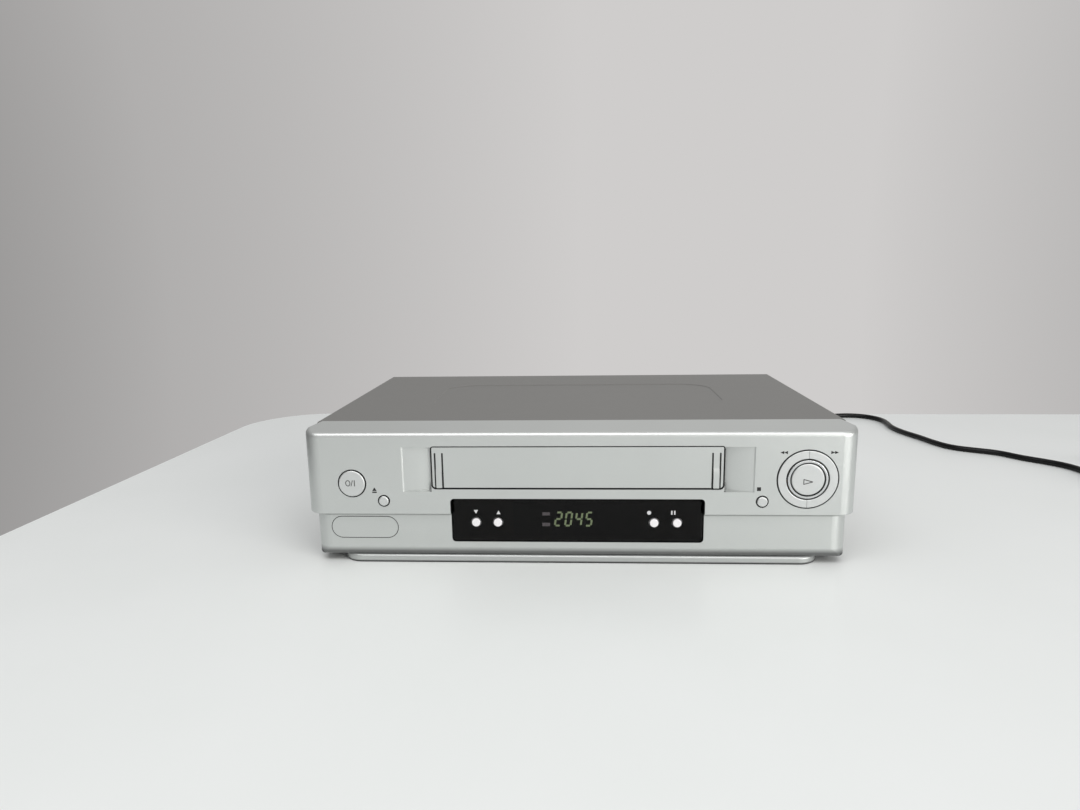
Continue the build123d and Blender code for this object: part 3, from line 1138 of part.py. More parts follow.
# ---------------------------------------------------------------- the machine
def build_machine():
    left_key, left_key_2, right_key, right_key_2 = KEY_XS
    return {
        "front_panel": front_panel(),
        "display_window": display_window(),
        "play_trim_ring": play_trim_ring(),
        "cassette_door": cassette_door(),
        "door_spring": door_spring(),
        "standby_button": panel_button(STANDBY_X, STANDBY_Z, STANDBY_R),
        "eject_button": panel_button(EJECT_X, SMALL_Z, SMALL_R),
        "stop_button": panel_button(STOP_X, SMALL_Z, SMALL_R),
        "play_button": play_button(),
        "rewind_button": shuttle_button(-1),
        "fast_forward_button": shuttle_button(1),
        "programme_down_button": key_button(left_key),
        "programme_up_button": key_button(left_key_2),
        "record_button": key_button(right_key),
        "pause_button": key_button(right_key_2),
        "top_cover": top_cover(),
        "cover_screws": cover_screws(),
        "bottom_plate": bottom_plate(),
        "feet": feet(),
        "chassis_frame": chassis_frame(),
        "rear_panel": rear_panel(),
        "scart_sockets": scart_sockets(),
        "tuner": tuner(),
        "audio_jacks": audio_jacks(),
        "cord_gland": cord_gland(),
        "mains_cord": mains_cord(),
        "cord_coil": cord_coil(),
        "mains_plug": mains_plug(),
        "main_board": main_board(),
        "board_components": board_components(),
        "power_transformer": power_transformer(),
        "heat_sink": heat_sink(),
        "timer_board": timer_board(),
        "fluorescent_display": fluorescent_display(),
        "tact_switches": tact_switches(),
        "head_amplifier_can": head_amplifier_can(),
        "deck_plate": deck_plate(),
        "lower_drum": lower_drum(),
        "upper_drum": upper_drum(),
        "capstan": capstan(),
        "capstan_stator": capstan_stator(),
        "drive_belt": drive_belt(),
        "clutch_pulley": clutch_pulley(),
        "idler_arm": idler_arm(),
        "idler_wheel": idler_wheel(),
        "supply_reel": reel_table(-1),
        "take_up_reel": reel_table(1),
        "pinch_arm": pinch_arm(),
        "pinch_roller": pinch_roller(),
        "supply_guide": tape_guide(-1),
        "take_up_guide": tape_guide(1),
        "tension_arm": tension_arm(),
        "full_erase_head": tape_head((-51, 141), 9, 7),
        "audio_control_head": tape_head((54, 163), 10, 8),
        "loading_motor": loading_motor(),
        "loading_pinion": loading_pinion(),
        "cam_gear": cam_gear(),
        "loader_frame": loader_frame(),
        "loader_slide": loader_slide(),
        "cassette_holder": cassette_holder(),
    }


def main():
    os.makedirs("parts", exist_ok=True)
    for name, shape in build_machine().items():
        export_step(shape, f"parts/{name}.step")


main()
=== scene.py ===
from math import cos, pi, radians, sin

import bmesh
import bpy
from mathutils import Matrix, Vector


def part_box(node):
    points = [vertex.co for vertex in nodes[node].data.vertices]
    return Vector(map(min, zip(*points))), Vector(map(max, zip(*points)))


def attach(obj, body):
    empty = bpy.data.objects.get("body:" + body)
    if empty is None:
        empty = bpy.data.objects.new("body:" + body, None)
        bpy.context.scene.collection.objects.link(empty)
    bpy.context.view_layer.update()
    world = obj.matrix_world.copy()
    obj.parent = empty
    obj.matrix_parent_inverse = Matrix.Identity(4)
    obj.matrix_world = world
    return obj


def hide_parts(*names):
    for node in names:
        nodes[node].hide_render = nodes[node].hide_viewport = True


# A front-loading video cassette recorder with its mains lead. Metres, +Z up, the front faces -Y.

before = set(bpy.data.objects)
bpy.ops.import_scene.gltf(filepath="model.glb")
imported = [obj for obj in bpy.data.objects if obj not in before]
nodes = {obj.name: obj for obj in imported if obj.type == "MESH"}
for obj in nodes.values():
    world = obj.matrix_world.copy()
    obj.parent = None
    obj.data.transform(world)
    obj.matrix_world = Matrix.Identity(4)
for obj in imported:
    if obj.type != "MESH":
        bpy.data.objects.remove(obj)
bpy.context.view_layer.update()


# ---------------------------------------------------------------- Table, light and camera
# The machine stands on a glossy white table top with rounded corners, in front of a pale wall.
# A soft window light comes from the right and behind, and the camera looks down a little.
class Value:
    """A number, colour or direction that changes over a surface: one output of a shader node."""

    def __init__(self, socket):
        self.socket = socket

    def maths(self, operation, *inputs):
        """One maths node with these inputs, which may be Values or numbers."""
        node = self.socket.id_data.nodes.new("ShaderNodeMath")
        node.operation = operation
        for socket, value in zip(node.inputs, inputs):
            connect(socket, value)
        return Value(node.outputs[0])

    def __add__(self, other):
        return self.maths("ADD", self, other)

    def __sub__(self, other):
        return self.maths("SUBTRACT", self, other)

    def __rsub__(self, other):
        return self.maths("SUBTRACT", other, self)

    def __mul__(self, other):
        return self.maths("MULTIPLY", self, other)

    __radd__ = __add__
    __rmul__ = __mul__

    def over(self, limit):
        """1 where the value is above the limit, and 0 elsewhere."""
        return self.maths("GREATER_THAN", self, limit)

    def size(self):
        """The value without its sign."""
        return self.maths("ABSOLUTE", self)


def connect(socket, value):
    """Puts a Value's link, a colour or a number in a socket."""
    if isinstance(value, Value):
        socket.id_data.links.new(value.socket, socket)
    elif isinstance(value, (tuple, list)) and len(value) == 3 and socket.type == "RGBA":
        socket.default_value = (*value, 1.0)
    else:
        socket.default_value = value


class Finish:
    """A material with one Principled shader."""

    def __init__(self, name, **inputs):
        self.material = bpy.data.materials.new(name)
        self.material.use_nodes = True
        self.tree = self.material.node_tree
        self.shader = self.tree.nodes["Principled BSDF"]
        self.place = Value(self.tree.nodes.new("ShaderNodeTexCoord").outputs["Object"])
        self.set(**inputs)

    def set(self, **inputs):
        """Sets the shader's own sockets: base_color for Base Color, and so on."""
        titles = {"ior": "IOR", "specular_ior_level": "Specular IOR Level"}
        for name, value in inputs.items():
            title = titles.get(name, name.replace("_", " ").title())
            connect(self.shader.inputs[title], value)

    def node(self, kind, settings, inputs, output=0):
        """Adds one shader node and gives the Value of one of its outputs."""
        node = self.tree.nodes.new(kind)
        for name, setting in settings.items():
            setattr(node, name, setting)
        for name, value in inputs.items():
            connect(node.inputs[name], value)
        return Value(node.outputs[output])

    def noise(self, size, detail=2.0, roughness=0.5, stretch=None):
        """Noise from 0 to 1 with features about size metres across."""
        place = self.place
        if stretch:
            place = self.node("ShaderNodeMapping", {}, {"Vector": place, "Scale": stretch})
        inputs = {"Vector": place, "Scale": 1 / size, "Detail": detail, "Roughness": roughness}
        return self.node("ShaderNodeTexNoise", {}, inputs)

    def band(self, value, low, high):
        """0 below low, 1 above high, and a straight ramp between."""
        settings = {"interpolation_type": "LINEAR", "clamp": True}
        return self.node("ShaderNodeMapRange", settings, {"Value": value, "From Min": low, "From Max": high})

    def blend(self, share, first, second):
        """Colour from first at share 0 to second at share 1."""
        settings = {"data_type": "RGBA"}
        return self.node("ShaderNodeMix", settings, {"Factor": share, 6: first, 7: second}, 2)

    def height(self, value, metres):
        """The value as relief, that many metres high."""
        return self.node("ShaderNodeBump", {}, {"Height": value, "Distance": metres, "Strength": 1.0})

    def axes(self):
        """The place's x, y and z."""
        split = self.node("ShaderNodeSeparateXYZ", {}, {"Vector": self.place})
        return [Value(output) for output in split.socket.node.outputs]

    def radius(self, x, y):
        """Distance from an upright axis at x and y."""
        here_x, here_y, _ = self.axes()
        off_x, off_y = here_x - x, here_y - y
        return (off_x * off_x + off_y * off_y).maths("SQRT", off_x * off_x + off_y * off_y)


def grey(red, green=None, blue=None):
    """A colour from sRGB values out of 255."""
    values = (red, green if green is not None else red, blue if blue is not None else red)
    return tuple(((v / 255 + 0.055) / 1.055) ** 2.4 if v > 10 else v / 255 / 12.92 for v in values)


MM = 0.001
TABLE_LEFT = -0.425
TABLE_RIGHT = 2.2
TABLE_BACK = 0.388
TABLE_FRONT = -1.5
TABLE_TURN = radians(-1.6)
TABLE_CORNER = 0.09

table_finish = Finish("table_top", specular_ior_level=0.4)
smear = table_finish.noise(0.12, 3)
table_finish.set(
    base_color=table_finish.blend(smear, grey(226, 228, 225), grey(231, 232, 230)),
    roughness=smear * 0.14 + 0.28,
)

shape = bmesh.new()
corners = [(TABLE_LEFT, TABLE_FRONT), (TABLE_RIGHT, TABLE_FRONT),
           (TABLE_RIGHT, TABLE_BACK), (TABLE_LEFT, TABLE_BACK)]
bmesh.ops.contextual_create(shape, geom=[shape.verts.new((x, y, 0)) for x, y in corners])
back_corners = [v for v in shape.verts if v.co.y > 0]
bmesh.ops.bevel(shape, geom=back_corners, offset=TABLE_CORNER, affect="VERTICES", segments=12, profile=0.5,
                material=-1)
bmesh.ops.rotate(shape, verts=shape.verts, cent=(0, TABLE_BACK, 0),
                 matrix=Matrix.Rotation(TABLE_TURN, 3, "Z"))
table_mesh = bpy.data.meshes.new("table_top")
shape.to_mesh(table_mesh)
shape.free()
table = bpy.data.objects.new("table_top", table_mesh)
bpy.context.scene.collection.objects.link(table)
table_mesh.materials.append(table_finish.material)

# The wall is what the camera, glass and polished faces see. It is darker to the left and far to
# the right, and the room's own light is stronger from the right, where the window is.
world = bpy.data.worlds.new("studio")
world.use_nodes = True
bpy.context.scene.world = world
sky = world.node_tree
rays = sky.nodes.new("ShaderNodeLightPath").outputs
direction = sky.nodes.new("ShaderNodeSeparateXYZ")
sky.links.new(sky.nodes.new("ShaderNodeTexCoord").outputs["Generated"], direction.inputs[0])
rightward, wallward, upward = [Value(output) for output in direction.outputs]
room = sky.nodes["Background"]
connect(room.inputs["Color"], (0.95, 0.97, 1.0))
connect(room.inputs["Strength"], rightward * 0.08 + upward * 0.12 + 0.46)
wall = sky.nodes.new("ShaderNodeBackground")
connect(wall.inputs["Color"], grey(207, 205, 204))
shade_left = rightward.maths("MINIMUM", rightward, 0.0) * 0.6
shade_far_left = rightward.maths("MINIMUM", rightward + 0.5, 0.0) * 0.6
shade_right = rightward.maths("MAXIMUM", rightward - 0.35, 0.0)
shade_near = wallward.maths("MINIMUM", wallward, 0.0) * -0.2
connect(wall.inputs["Strength"], shade_left + shade_far_left - shade_right + shade_near + 1.0)
seen = Value(rays["Is Camera Ray"]) + Value(rays["Is Transmission Ray"]) + Value(rays["Is Glossy Ray"])
backdrop = sky.nodes.new("ShaderNodeMixShader")
connect(backdrop.inputs[0], seen.maths("MINIMUM", seen, 1.0))
sky.links.new(room.outputs[0], backdrop.inputs[1])
sky.links.new(wall.outputs[0], backdrop.inputs[2])
sky.links.new(backdrop.outputs[0], sky.nodes["World Output"].inputs["Surface"])


def soft_light(name, place, target, size, power, colour):
    """A rectangular lamp of a size in metres and a power in watts that faces the target."""
    lamp = bpy.data.lights.new(name, "AREA")
    lamp.shape = "RECTANGLE"
    lamp.size, lamp.size_y = size
    lamp.energy = power
    lamp.color = colour
    light = bpy.data.objects.new(name, lamp)
    light.location = place
    light.rotation_euler = (Vector(target) - Vector(place)).to_track_quat("-Z", "Y").to_euler()
    bpy.context.scene.collection.objects.link(light)


soft_light("window", (2.55, -2.45, 1.05), (0, 0, 0.1), (2.4, 1.9), 66, (1.0, 0.99, 0.965))
soft_light("ceiling", (-0.15, -0.95, 1.6), (0, 0, 0.05), (2.4, 1.0), 18, (1.0, 1.0, 1.0))

CAMERA_PLACE = (3.89 * MM, -566.85 * MM, 194.63 * MM)
CAMERA_TURN = radians(3.355)
CAMERA_DOWN = radians(10.796)
CAMERA_TILT = radians(-0.930)
lens = bpy.data.cameras.new("camera")
lens.sensor_width = 36.0
lens.lens = 24.222
lens.clip_start = 0.01
camera = bpy.data.objects.new("camera", lens)
bpy.context.scene.collection.objects.link(camera)
level = Matrix.Rotation(CAMERA_TURN, 4, "Z") @ Matrix.Rotation(pi / 2 - CAMERA_DOWN, 4, "X")
camera.matrix_world = Matrix.Translation(CAMERA_PLACE) @ level @ Matrix.Rotation(CAMERA_TILT, 4, "Z")
bpy.context.scene.camera = camera
bpy.context.scene.view_settings.view_transform = "Standard"


# ---------------------------------------------------------------- Mains lead
# A round black lead of 5.5 mm, about 1.5 m long, with a ribbed strain relief in the back panel and a
# flat moulded two-pin plug. The spare length is coiled beside the machine and held by a flat tie.
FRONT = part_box("front_panel")[0].y
LEAD_R = 2.75 * MM
REST = 2.8 * MM
COIL_MIDDLE = Vector((0.493, FRONT + 0.165, 0))
COIL_WIDEST = 0.0366
TURN_STEP = 0.0056
UPPER_LAYER = 0.0085
POINTS_PER_TURN = 14
COIL_TURNS = 4.5
LOWER_TURNS = 2.55      # turns that wind inwards on the table
CLIMB_START = 2.45      # turn at which the lead starts to climb
CLIMB_TURNS = 0.45
CLIMB_OUT = 0.0032      # radius gained in the climb
UPPER_START = 2.9       # turn at which the upper layer starts
UPPER_SPREAD = 1.1      # its step against the lower layer's
# Route from the strain relief to the coil: x, depth behind the front plane, and z
lead_route = [
    (0.150, 0.241, 0.028), (0.150, 0.261, 0.028), (0.152, 0.294, 0.014), (0.164, 0.330, REST),
    (0.193, 0.370, REST), (0.233, 0.408, REST), (0.272, 0.440, REST), (0.305, 0.461, REST),
    (0.330, 0.470, REST), (0.349, 0.4695, REST), (0.3645, 0.459, REST), (0.372, 0.441, REST),
    (0.3705, 0.422, REST), (0.366, 0.399, REST), (0.369, 0.372, REST), (0.376, 0.349, REST),
    (0.380, 0.325, REST), (0.388, 0.303, REST), (0.407, 0.291, REST), (0.424, 0.281, REST),
    (0.434, 0.262, REST), (0.449, 0.247, REST), (0.460, 0.231, REST), (0.463, 0.211, REST),
    (0.460, 0.192, REST),
]
lead_points = [Vector((x, FRONT + depth, z)) for x, depth, z in lead_route]

# The coil winds inwards on the table for two and a half turns, then outwards on top of itself.
for step in range(int(COIL_TURNS * POINTS_PER_TURN) + 1):
    turns = step / POINTS_PER_TURN
    inward = COIL_WIDEST - TURN_STEP * min(turns, LOWER_TURNS)
    climb = min(max((turns - CLIMB_START) / CLIMB_TURNS, 0), 1)
    outward = TURN_STEP * max(turns - UPPER_START, 0) * UPPER_SPREAD
    radius = inward + CLIMB_OUT * climb + outward
    bearing = pi + 2 * pi * turns
    z = REST + (UPPER_LAYER - REST) * climb * climb * (3 - 2 * climb)
    lead_points.append(COIL_MIDDLE + Vector((radius * cos(bearing), radius * sin(bearing), z)))
PLUG_X = 0.523
PLUG_Y = FRONT + 0.207
PLUG_Z = 0.00685
lead_points += [Vector((0.5245, FRONT + 0.180, 0.0076)), Vector((PLUG_X, FRONT + 0.195, PLUG_Z)),
                Vector((PLUG_X, PLUG_Y, PLUG_Z))]

lead_curve = bpy.data.curves.new("mains_lead", "CURVE")
lead_curve.dimensions = "3D"
lead_curve.bevel_depth = LEAD_R
lead_curve.bevel_resolution = 4
lead_curve.resolution_u = 8
lead_curve.use_fill_caps = True
spline = lead_curve.splines.new("NURBS")
spline.points.add(len(lead_points) - 1)
for point, place in zip(spline.points, lead_points):
    point.co = (*place, 1)
spline.order_u = 3
spline.use_endpoint_u = True
mains_lead = bpy.data.objects.new("mains_lead", lead_curve)
bpy.context.scene.collection.objects.link(mains_lead)

lead_black = Finish("lead_black", specular_ior_level=0.25)
scuff = lead_black.noise(4 * MM, 4, 0.6)
lead_black.set(
    base_color=lead_black.blend(lead_black.band(scuff, 0.4, 0.8), grey(7, 7, 8), grey(18, 18, 19)),
    roughness=scuff * 0.25 + 0.2,
    normal=lead_black.height(lead_black.noise(0.9 * MM), 0.03 * MM),
)
lead_curve.materials.append(lead_black.material)
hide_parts("mains_cord", "cord_coil")
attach(mains_lead, "case")


def spun(profile, axis, middle, steps=48):
    """A solid of revolution from (distance along the axis, radius) points in millimetres."""
    shape = bmesh.new()
    rim = [shape.verts.new((0, radius * MM, along * MM)) for along, radius in profile]
    for first, second in zip(rim, rim[1:]):
        shape.edges.new((first, second))
    geom = list(shape.verts) + list(shape.edges)
    bmesh.ops.spin(shape, geom=geom, axis=(0, 0, 1), cent=(0, 0, 0), angle=2 * pi, steps=steps,
                   use_merge=True)
    bmesh.ops.remove_doubles(shape, verts=shape.verts, dist=0.001 * MM)
    turn = Vector((0, 0, 1)).rotation_difference(Vector(axis)).to_matrix()
    bmesh.ops.rotate(shape, verts=shape.verts, cent=(0, 0, 0), matrix=turn)
    bmesh.ops.translate(shape, verts=shape.verts, vec=middle)
    bmesh.ops.recalc_face_normals(shape, faces=shape.faces)
    return shape


def piece(name, shape, finish, body="case", crease=35):
    """Makes a mesh of a bmesh, smooth but for its creases, and puts it on a body."""
    mesh = bpy.data.meshes.new(name)
    shape.to_mesh(mesh)
    shape.free()
    mesh.shade_smooth()
    mesh.set_sharp_from_angle(angle=radians(crease))
    mesh.materials.append(finish.material)
    thing = bpy.data.objects.new(name, mesh)
    bpy.context.scene.collection.objects.link(thing)
    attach(thing, body)
    return thing


def rubbery(name, dark, light, gloss, grain):
    """Soft black plastic or rubber with a grain so many metres across."""
    finish = Finish(name, specular_ior_level=0.35)
    wear = finish.noise(12 * grain, 4, 0.6)
    finish.set(
        base_color=finish.blend(finish.band(wear, 0.35, 0.75), grey(dark), grey(light)),
        roughness=wear * 0.2 + gloss,
        normal=finish.height(finish.noise(grain), grain * 0.06),
    )
    return finish


# Strain relief: a clip in the wall, a collar outside it, and a tail with ribs that lets the lead bend
RELIEF_RIBS = 8
relief_black = rubbery("relief_black", 18, 34, 0.4, 0.5 * MM)
profile = [(213.9, 0), (213.9, 5.9), (214.2, 6.2), (216.4, 6.2), (216.4, 5.3), (218.55, 5.3), (218.55, 7.1),
           (218.85, 7.4), (220.2, 7.4), (220.6, 7.0), (220.6, 4.86)]
for rib in range(RELIEF_RIBS):
    along = 221.6 + rib * 2.3
    radius = 4.95 - rib * 0.15
    profile += [(along, radius - 0.05), (along + 0.15, radius), (along + 1.15, radius - 0.1),
                (along + 1.3, radius - 0.2), (along + 1.3, radius - 0.95), (along + 2.3, radius - 1.05)]
profile += [(240.2, 3.75), (240.85, 3.6), (241.0, 3.3), (241.0, 0)]
relief_shape = spun(profile, (0, 1, 0), (0.150, FRONT, 0.028))
strain_relief = piece("strain_relief", relief_shape, relief_black)
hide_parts("cord_gland")

# Plug: a flat body with a sunk grip on each side, and two round pins with sleeves near the body
PLUG_LONG = 36
PIN_R = 2.0
PIN_LENGTH = 19.0
PIN_SPACING = 19.0
SLEEVE_LENGTH = 9.5
plug_black = rubbery("plug_black", 20, 36, 0.34, 0.6 * MM)
shape = bmesh.new()
outline = [(-17.6, PLUG_LONG), (-17.6, 22), (-8, 8), (-5.5, 0), (5.5, 0), (8, 8), (17.6, 22),
           (17.6, PLUG_LONG)]
ring = [shape.verts.new((x * MM, y * MM, 0)) for x, y in outline]
bmesh.ops.contextual_create(shape, geom=ring)
bmesh.ops.bevel(shape, geom=ring, offset=2.5 * MM, affect="VERTICES", segments=4, profile=0.5, material=-1)
grown = bmesh.ops.extrude_face_region(shape, geom=list(shape.faces))["geom"]
raised = [v for v in grown if isinstance(v, bmesh.types.BMVert)]
bmesh.ops.translate(shape, verts=raised, vec=(0, 0, 2 * PLUG_Z))
bmesh.ops.recalc_face_normals(shape, faces=shape.faces)
flats = [face for face in shape.faces if abs(face.normal.z) > 0.9]
rims = list({edge for face in flats for edge in face.edges})
bmesh.ops.bevel(shape, geom=rims, offset=1.5 * MM, affect="EDGES", segments=4, profile=0.5, material=-1)
flats = [face for face in shape.faces if abs(face.normal.z) > 0.999]
bmesh.ops.inset_region(shape, faces=flats, thickness=2.2 * MM)
bmesh.ops.inset_region(shape, faces=flats, thickness=0.7 * MM, depth=-0.7 * MM)
bmesh.ops.translate(shape, verts=shape.verts, vec=(PLUG_X, PLUG_Y, 0))
mains_plug = piece("plug_body", shape, plug_black)
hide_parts("mains_plug")

pin_metal = Finish("pin_metal", metallic=1.0)
drawn = pin_metal.noise(0.4 * MM, 3, stretch=(1, 0.06, 1))
pin_metal.set(
    base_color=pin_metal.blend(drawn, grey(196, 194, 188), grey(216, 214, 208)),
    roughness=drawn * 0.2 + 0.2,
)
pins = bmesh.new()
sleeves = bmesh.new()
for side in (-1, 1):
    middle = (PLUG_X + side * PIN_SPACING / 2 * MM, PLUG_Y, PLUG_Z)
    tip = PLUG_LONG + PIN_LENGTH
    root = PLUG_LONG + SLEEVE_LENGTH
    sunk = PLUG_LONG - 1
    metal = spun([(root - 0.5, 0), (root - 0.5, PIN_R), (tip - 1.3, PIN_R), (tip - 0.6, 1.8),
                  (tip - 0.15, 1.2), (tip, 0.6), (tip, 0)], (0, 1, 0), middle, 24)
    sleeve = spun([(sunk, 0), (sunk, 1.9), (root - 0.3, 1.9), (root, 1.75), (root, 0)], (0, 1, 0), middle, 24)
    for part, whole in ((metal, pins), (sleeve, sleeves)):
        half_mesh = bpy.data.meshes.new("half")
        part.to_mesh(half_mesh)
        part.free()
        whole.from_mesh(half_mesh)
        bpy.data.meshes.remove(half_mesh)
plug_pins = piece("plug_pins", pins, pin_metal)
plug_sleeves = piece("plug_sleeves", sleeves, plug_black)

# Tie: a flat band drawn round the turns at the front of the coil, with its lock on top
TIE_WIDTH = 4.0 * MM
TIE_THICK = 0.5 * MM
tie_black = rubbery("tie_black", 24, 44, 0.42, 0.8 * MM)
shape = bmesh.new()
for wrap in (LEAD_R, LEAD_R + TIE_THICK):
    hull = bmesh.new()
    for radius, z in ((24.0, 2.9), (35.2, 2.9), (33.9, 8.6), (27.6, 8.6)):
        place = Matrix.Translation(COIL_MIDDLE + Vector((0, -radius * MM, z * MM)))
        place = place @ Matrix.Rotation(pi / 2, 4, "Y")
        bmesh.ops.create_cone(hull, cap_ends=True, segments=24, radius1=wrap, radius2=wrap, depth=TIE_WIDTH,
                              matrix=place)
    bmesh.ops.convex_hull(hull, input=hull.verts)
    ends = [face for face in hull.faces
            if abs(face.calc_center_median().x - COIL_MIDDLE.x) > TIE_WIDTH * 0.49]
    bmesh.ops.delete(hull, geom=ends, context="FACES")
    loose = [v for v in hull.verts if not v.link_faces]
    bmesh.ops.delete(hull, geom=loose, context="VERTS")
    band_mesh = bpy.data.meshes.new("band")
    hull.to_mesh(band_mesh)
    hull.free()
    shape.from_mesh(band_mesh)
    bpy.data.meshes.remove(band_mesh)
for side in (-1, 1):
    rim = [e for e in shape.edges if e.is_boundary and (e.verts[0].co.x - COIL_MIDDLE.x) * side > 0]
    bmesh.ops.bridge_loops(shape, edges=rim)
lock = bmesh.ops.create_cube(shape, size=1)["verts"]
bmesh.ops.scale(shape, verts=lock, vec=(5.4 * MM, 5.0 * MM, 3.0 * MM))
bmesh.ops.translate(shape, verts=lock, vec=COIL_MIDDLE + Vector((0, -30.5 * MM, 12.2 * MM)))
lock_edges = list({edge for vert in lock for edge in vert.link_edges})
bmesh.ops.bevel(shape, geom=lock_edges, offset=0.6 * MM, affect="EDGES", segments=2, profile=0.5, material=-1)
bmesh.ops.recalc_face_normals(shape, faces=shape.faces)
lead_tie = piece("lead_tie", shape, tie_black)


# ---------------------------------------------------------------- Front panel
# A moulded panel in silver paint: fine metal flakes under a satin lacquer. The few signs beside
# the buttons are printed on it in dark grey, and the engraved oval stays bare.
def dress(finish, *names):
    """Gives CAD nodes a finish."""
    for name in names:
        materials = nodes[name].data.materials
        materials.clear()
        materials.append(finish.material)


def silvered(name, base, bare, flake_share=0.75):
    """Silver paint on grey plastic, which turns dark grey where bare(finish) is 1: partly bare plastic,
    partly painted shade.
    """
    finish = Finish(name, coat_weight=0.1, coat_roughness=0.2)
    flakes = finish.noise(0.22 * MM, 1)
    cloud = finish.noise(35 * MM, 3)
    tone = flakes * 0.7 + cloud * 0.3
    paint = finish.blend(tone, grey(*(shade - 9 for shade in base)), grey(*(shade + 8 for shade in base)))
    # Share of dark grey: bare plastic in part, and painted shade in gaps, recesses and under the panel.
    bare_and_shadow_share = bare(finish)
    finish.set(
        base_color=finish.blend(bare_and_shadow_share, paint, grey(26, 26, 27)),
        metallic=(1 - bare_and_shadow_share) * flake_share,
        roughness=cloud * 0.06 + flakes * 0.05 + 0.31,
        normal=finish.height(finish.noise(1.3 * MM), 0.008 * MM),
    )
    return finish


def panel_bare_and_shadow(finish):
    """1 behind the panel and in its openings, bare plastic that also paints their shade, and less in the
    step's corner, under the chin and low down, which is painted shadow.
    """
    x, y, z = finish.axes()
    wide = x.size()
    lower = 1 - z.over(34.8 * MM)
    scoops = wide.over(95.8 * MM) * (1 - wide.over(114.2 * MM)) * z.over(50.3 * MM) * (1 - z.over(80.4 * MM))
    skin = lower * (2.6 * MM) + scoops * (5.0 * MM) + FRONT + 0.4 * MM
    middle = (1 - wide.over(166 * MM)) * z.over(12 * MM) * (1 - z.over(84.5 * MM))
    # Painted shadow under the step's overhang.
    step = finish.band(z, 33.0 * MM, 34.5 * MM) * (1 - z.over(34.95 * MM)) * y.over(FRONT + 2 * MM) * 0.75
    # Painted shade on the chin, darker towards its foot.
    chin = (1 - finish.band(z, 7.6 * MM, 11.2 * MM)) * z.over(5.25 * MM) * 0.8
    # Painted shadow in the slit between the chin and the plinth.
    neck = z.over(5.25 * MM) * (1 - z.over(7 * MM)) * y.over(FRONT + 5.4 * MM)
    # Painted contact shadow along the plinth's foot, and the whole plinth a little darker as painted shade.
    foot = (1 - finish.band(z, 0.8 * MM, 1.8 * MM)) * 0.8 + (1 - z.over(5.25 * MM)) * 0.2
    # Bare plastic behind the front skin, kept dark as painted shade in the openings and gaps.
    hidden = y.over(skin) * middle
    painted_shadow = step + chin + neck + foot
    return hidden.maths("MAXIMUM", hidden, painted_shadow.maths("MINIMUM", painted_shadow, 1.0))


def bare_and_shadow_beyond(depth):
    """Dark bare plastic deeper than so many millimetres behind the front plane, which also paints the shade
    in gaps and grooves.
    """
    return lambda finish: finish.axes()[1].over(FRONT + depth * MM)


PAINT_SHADE = (200, 203, 201)
silver_paint = silvered("silver_paint", PAINT_SHADE, panel_bare_and_shadow)
dress(silver_paint, "front_panel")


def printed(name, body, ink, depth, marks, lean=0.0, thick=0.05):
    """Flat marks facing the front, from lists of (x, z) corners in millimetres; lean slants them."""
    shape = bmesh.new()
    for corners in marks:
        ring = [shape.verts.new(((x + lean * z) * MM, FRONT + depth * MM, z * MM)) for x, z in corners]
        face = bmesh.ops.contextual_create(shape, geom=ring)["faces"]
        grown = bmesh.ops.extrude_face_region(shape, geom=face)["geom"]
        raised = [v for v in grown if isinstance(v, bmesh.types.BMVert)]
        bmesh.ops.translate(shape, verts=raised, vec=(0, -thick * MM, 0))
    bmesh.ops.recalc_face_normals(shape, faces=shape.faces)
    return piece(name, shape, ink, body)


def triangle(x, z, width, height, way):
    """A filled triangle about (x, z) that points left, right, up or down."""
    corners = {"right": (-1, 1, -1, -1, 1, 0), "left": (1, -1, 1, 1, -1, 0),
               "up": (-1, -1, 1, -1, 0, 1), "down": (1, 1, -1, 1, 0, -1)}[way]
    return [(x + corners[n] * width / 2, z + corners[n + 1] * height / 2) for n in (0, 2, 4)]


def bar(x, z, width, height):
    """A filled upright rectangle about (x, z)."""
    return [(x - width / 2, z - height / 2), (x + width / 2, z - height / 2),
            (x + width / 2, z + height / 2), (x - width / 2, z + height / 2)]


def stroke(start, end, width):
    """A straight line of one width between two points."""
    along = Vector(end) - Vector(start)
    off = Vector((-along.y, along.x)).normalized() * width / 2
    return [tuple(Vector(start) + off), tuple(Vector(start) - off),
            tuple(Vector(end) - off), tuple(Vector(end) + off)]


def circle(x, z, across, tall, width, sides=24):
    """An outlined oval about (x, z), as a ring of short strokes; width None fills it."""
    def at(n, inset):
        turn = 2 * pi * n / sides
        return (x + (across / 2 - inset) * cos(turn), z + (tall / 2 - inset) * sin(turn))
    if width is None:
        return [[at(n, 0) for n in range(sides)]]
    return [[at(n, 0), at(n + 1, 0), at(n + 1, width), at(n, width)] for n in range(sides)]


def inked(name, shade, **inputs):
    """Printing ink, with the faint unevenness of a screen print."""
    finish = Finish(name, **inputs)
    cover = finish.noise(0.5 * MM, 3)
    finish.set(
        base_color=finish.blend(cover, grey(*(value * 0.88 for value in shade)), grey(*shade)),
        roughness=cover * 0.15 + 0.4,
    )
    return finish


dark_ink = inked("dark_ink", (24, 24, 24))
panel_marks = [triangle(-133.0, 52.1, 3.0, 2.4, "up"), bar(-133.0, 50.0, 3.0, 0.9),
               bar(116.7, 52.5, 2.5, 2.5)]
for x in (130.3, 132.6):
    panel_marks.append(triangle(x, 76.6, 2.4, 2.1, "left"))
for x in (161.8, 164.1):
    panel_marks.append(triangle(x, 76.6, 2.4, 2.1, "right"))
printed("panel_signs", "case", dark_ink, 0.0, panel_marks)


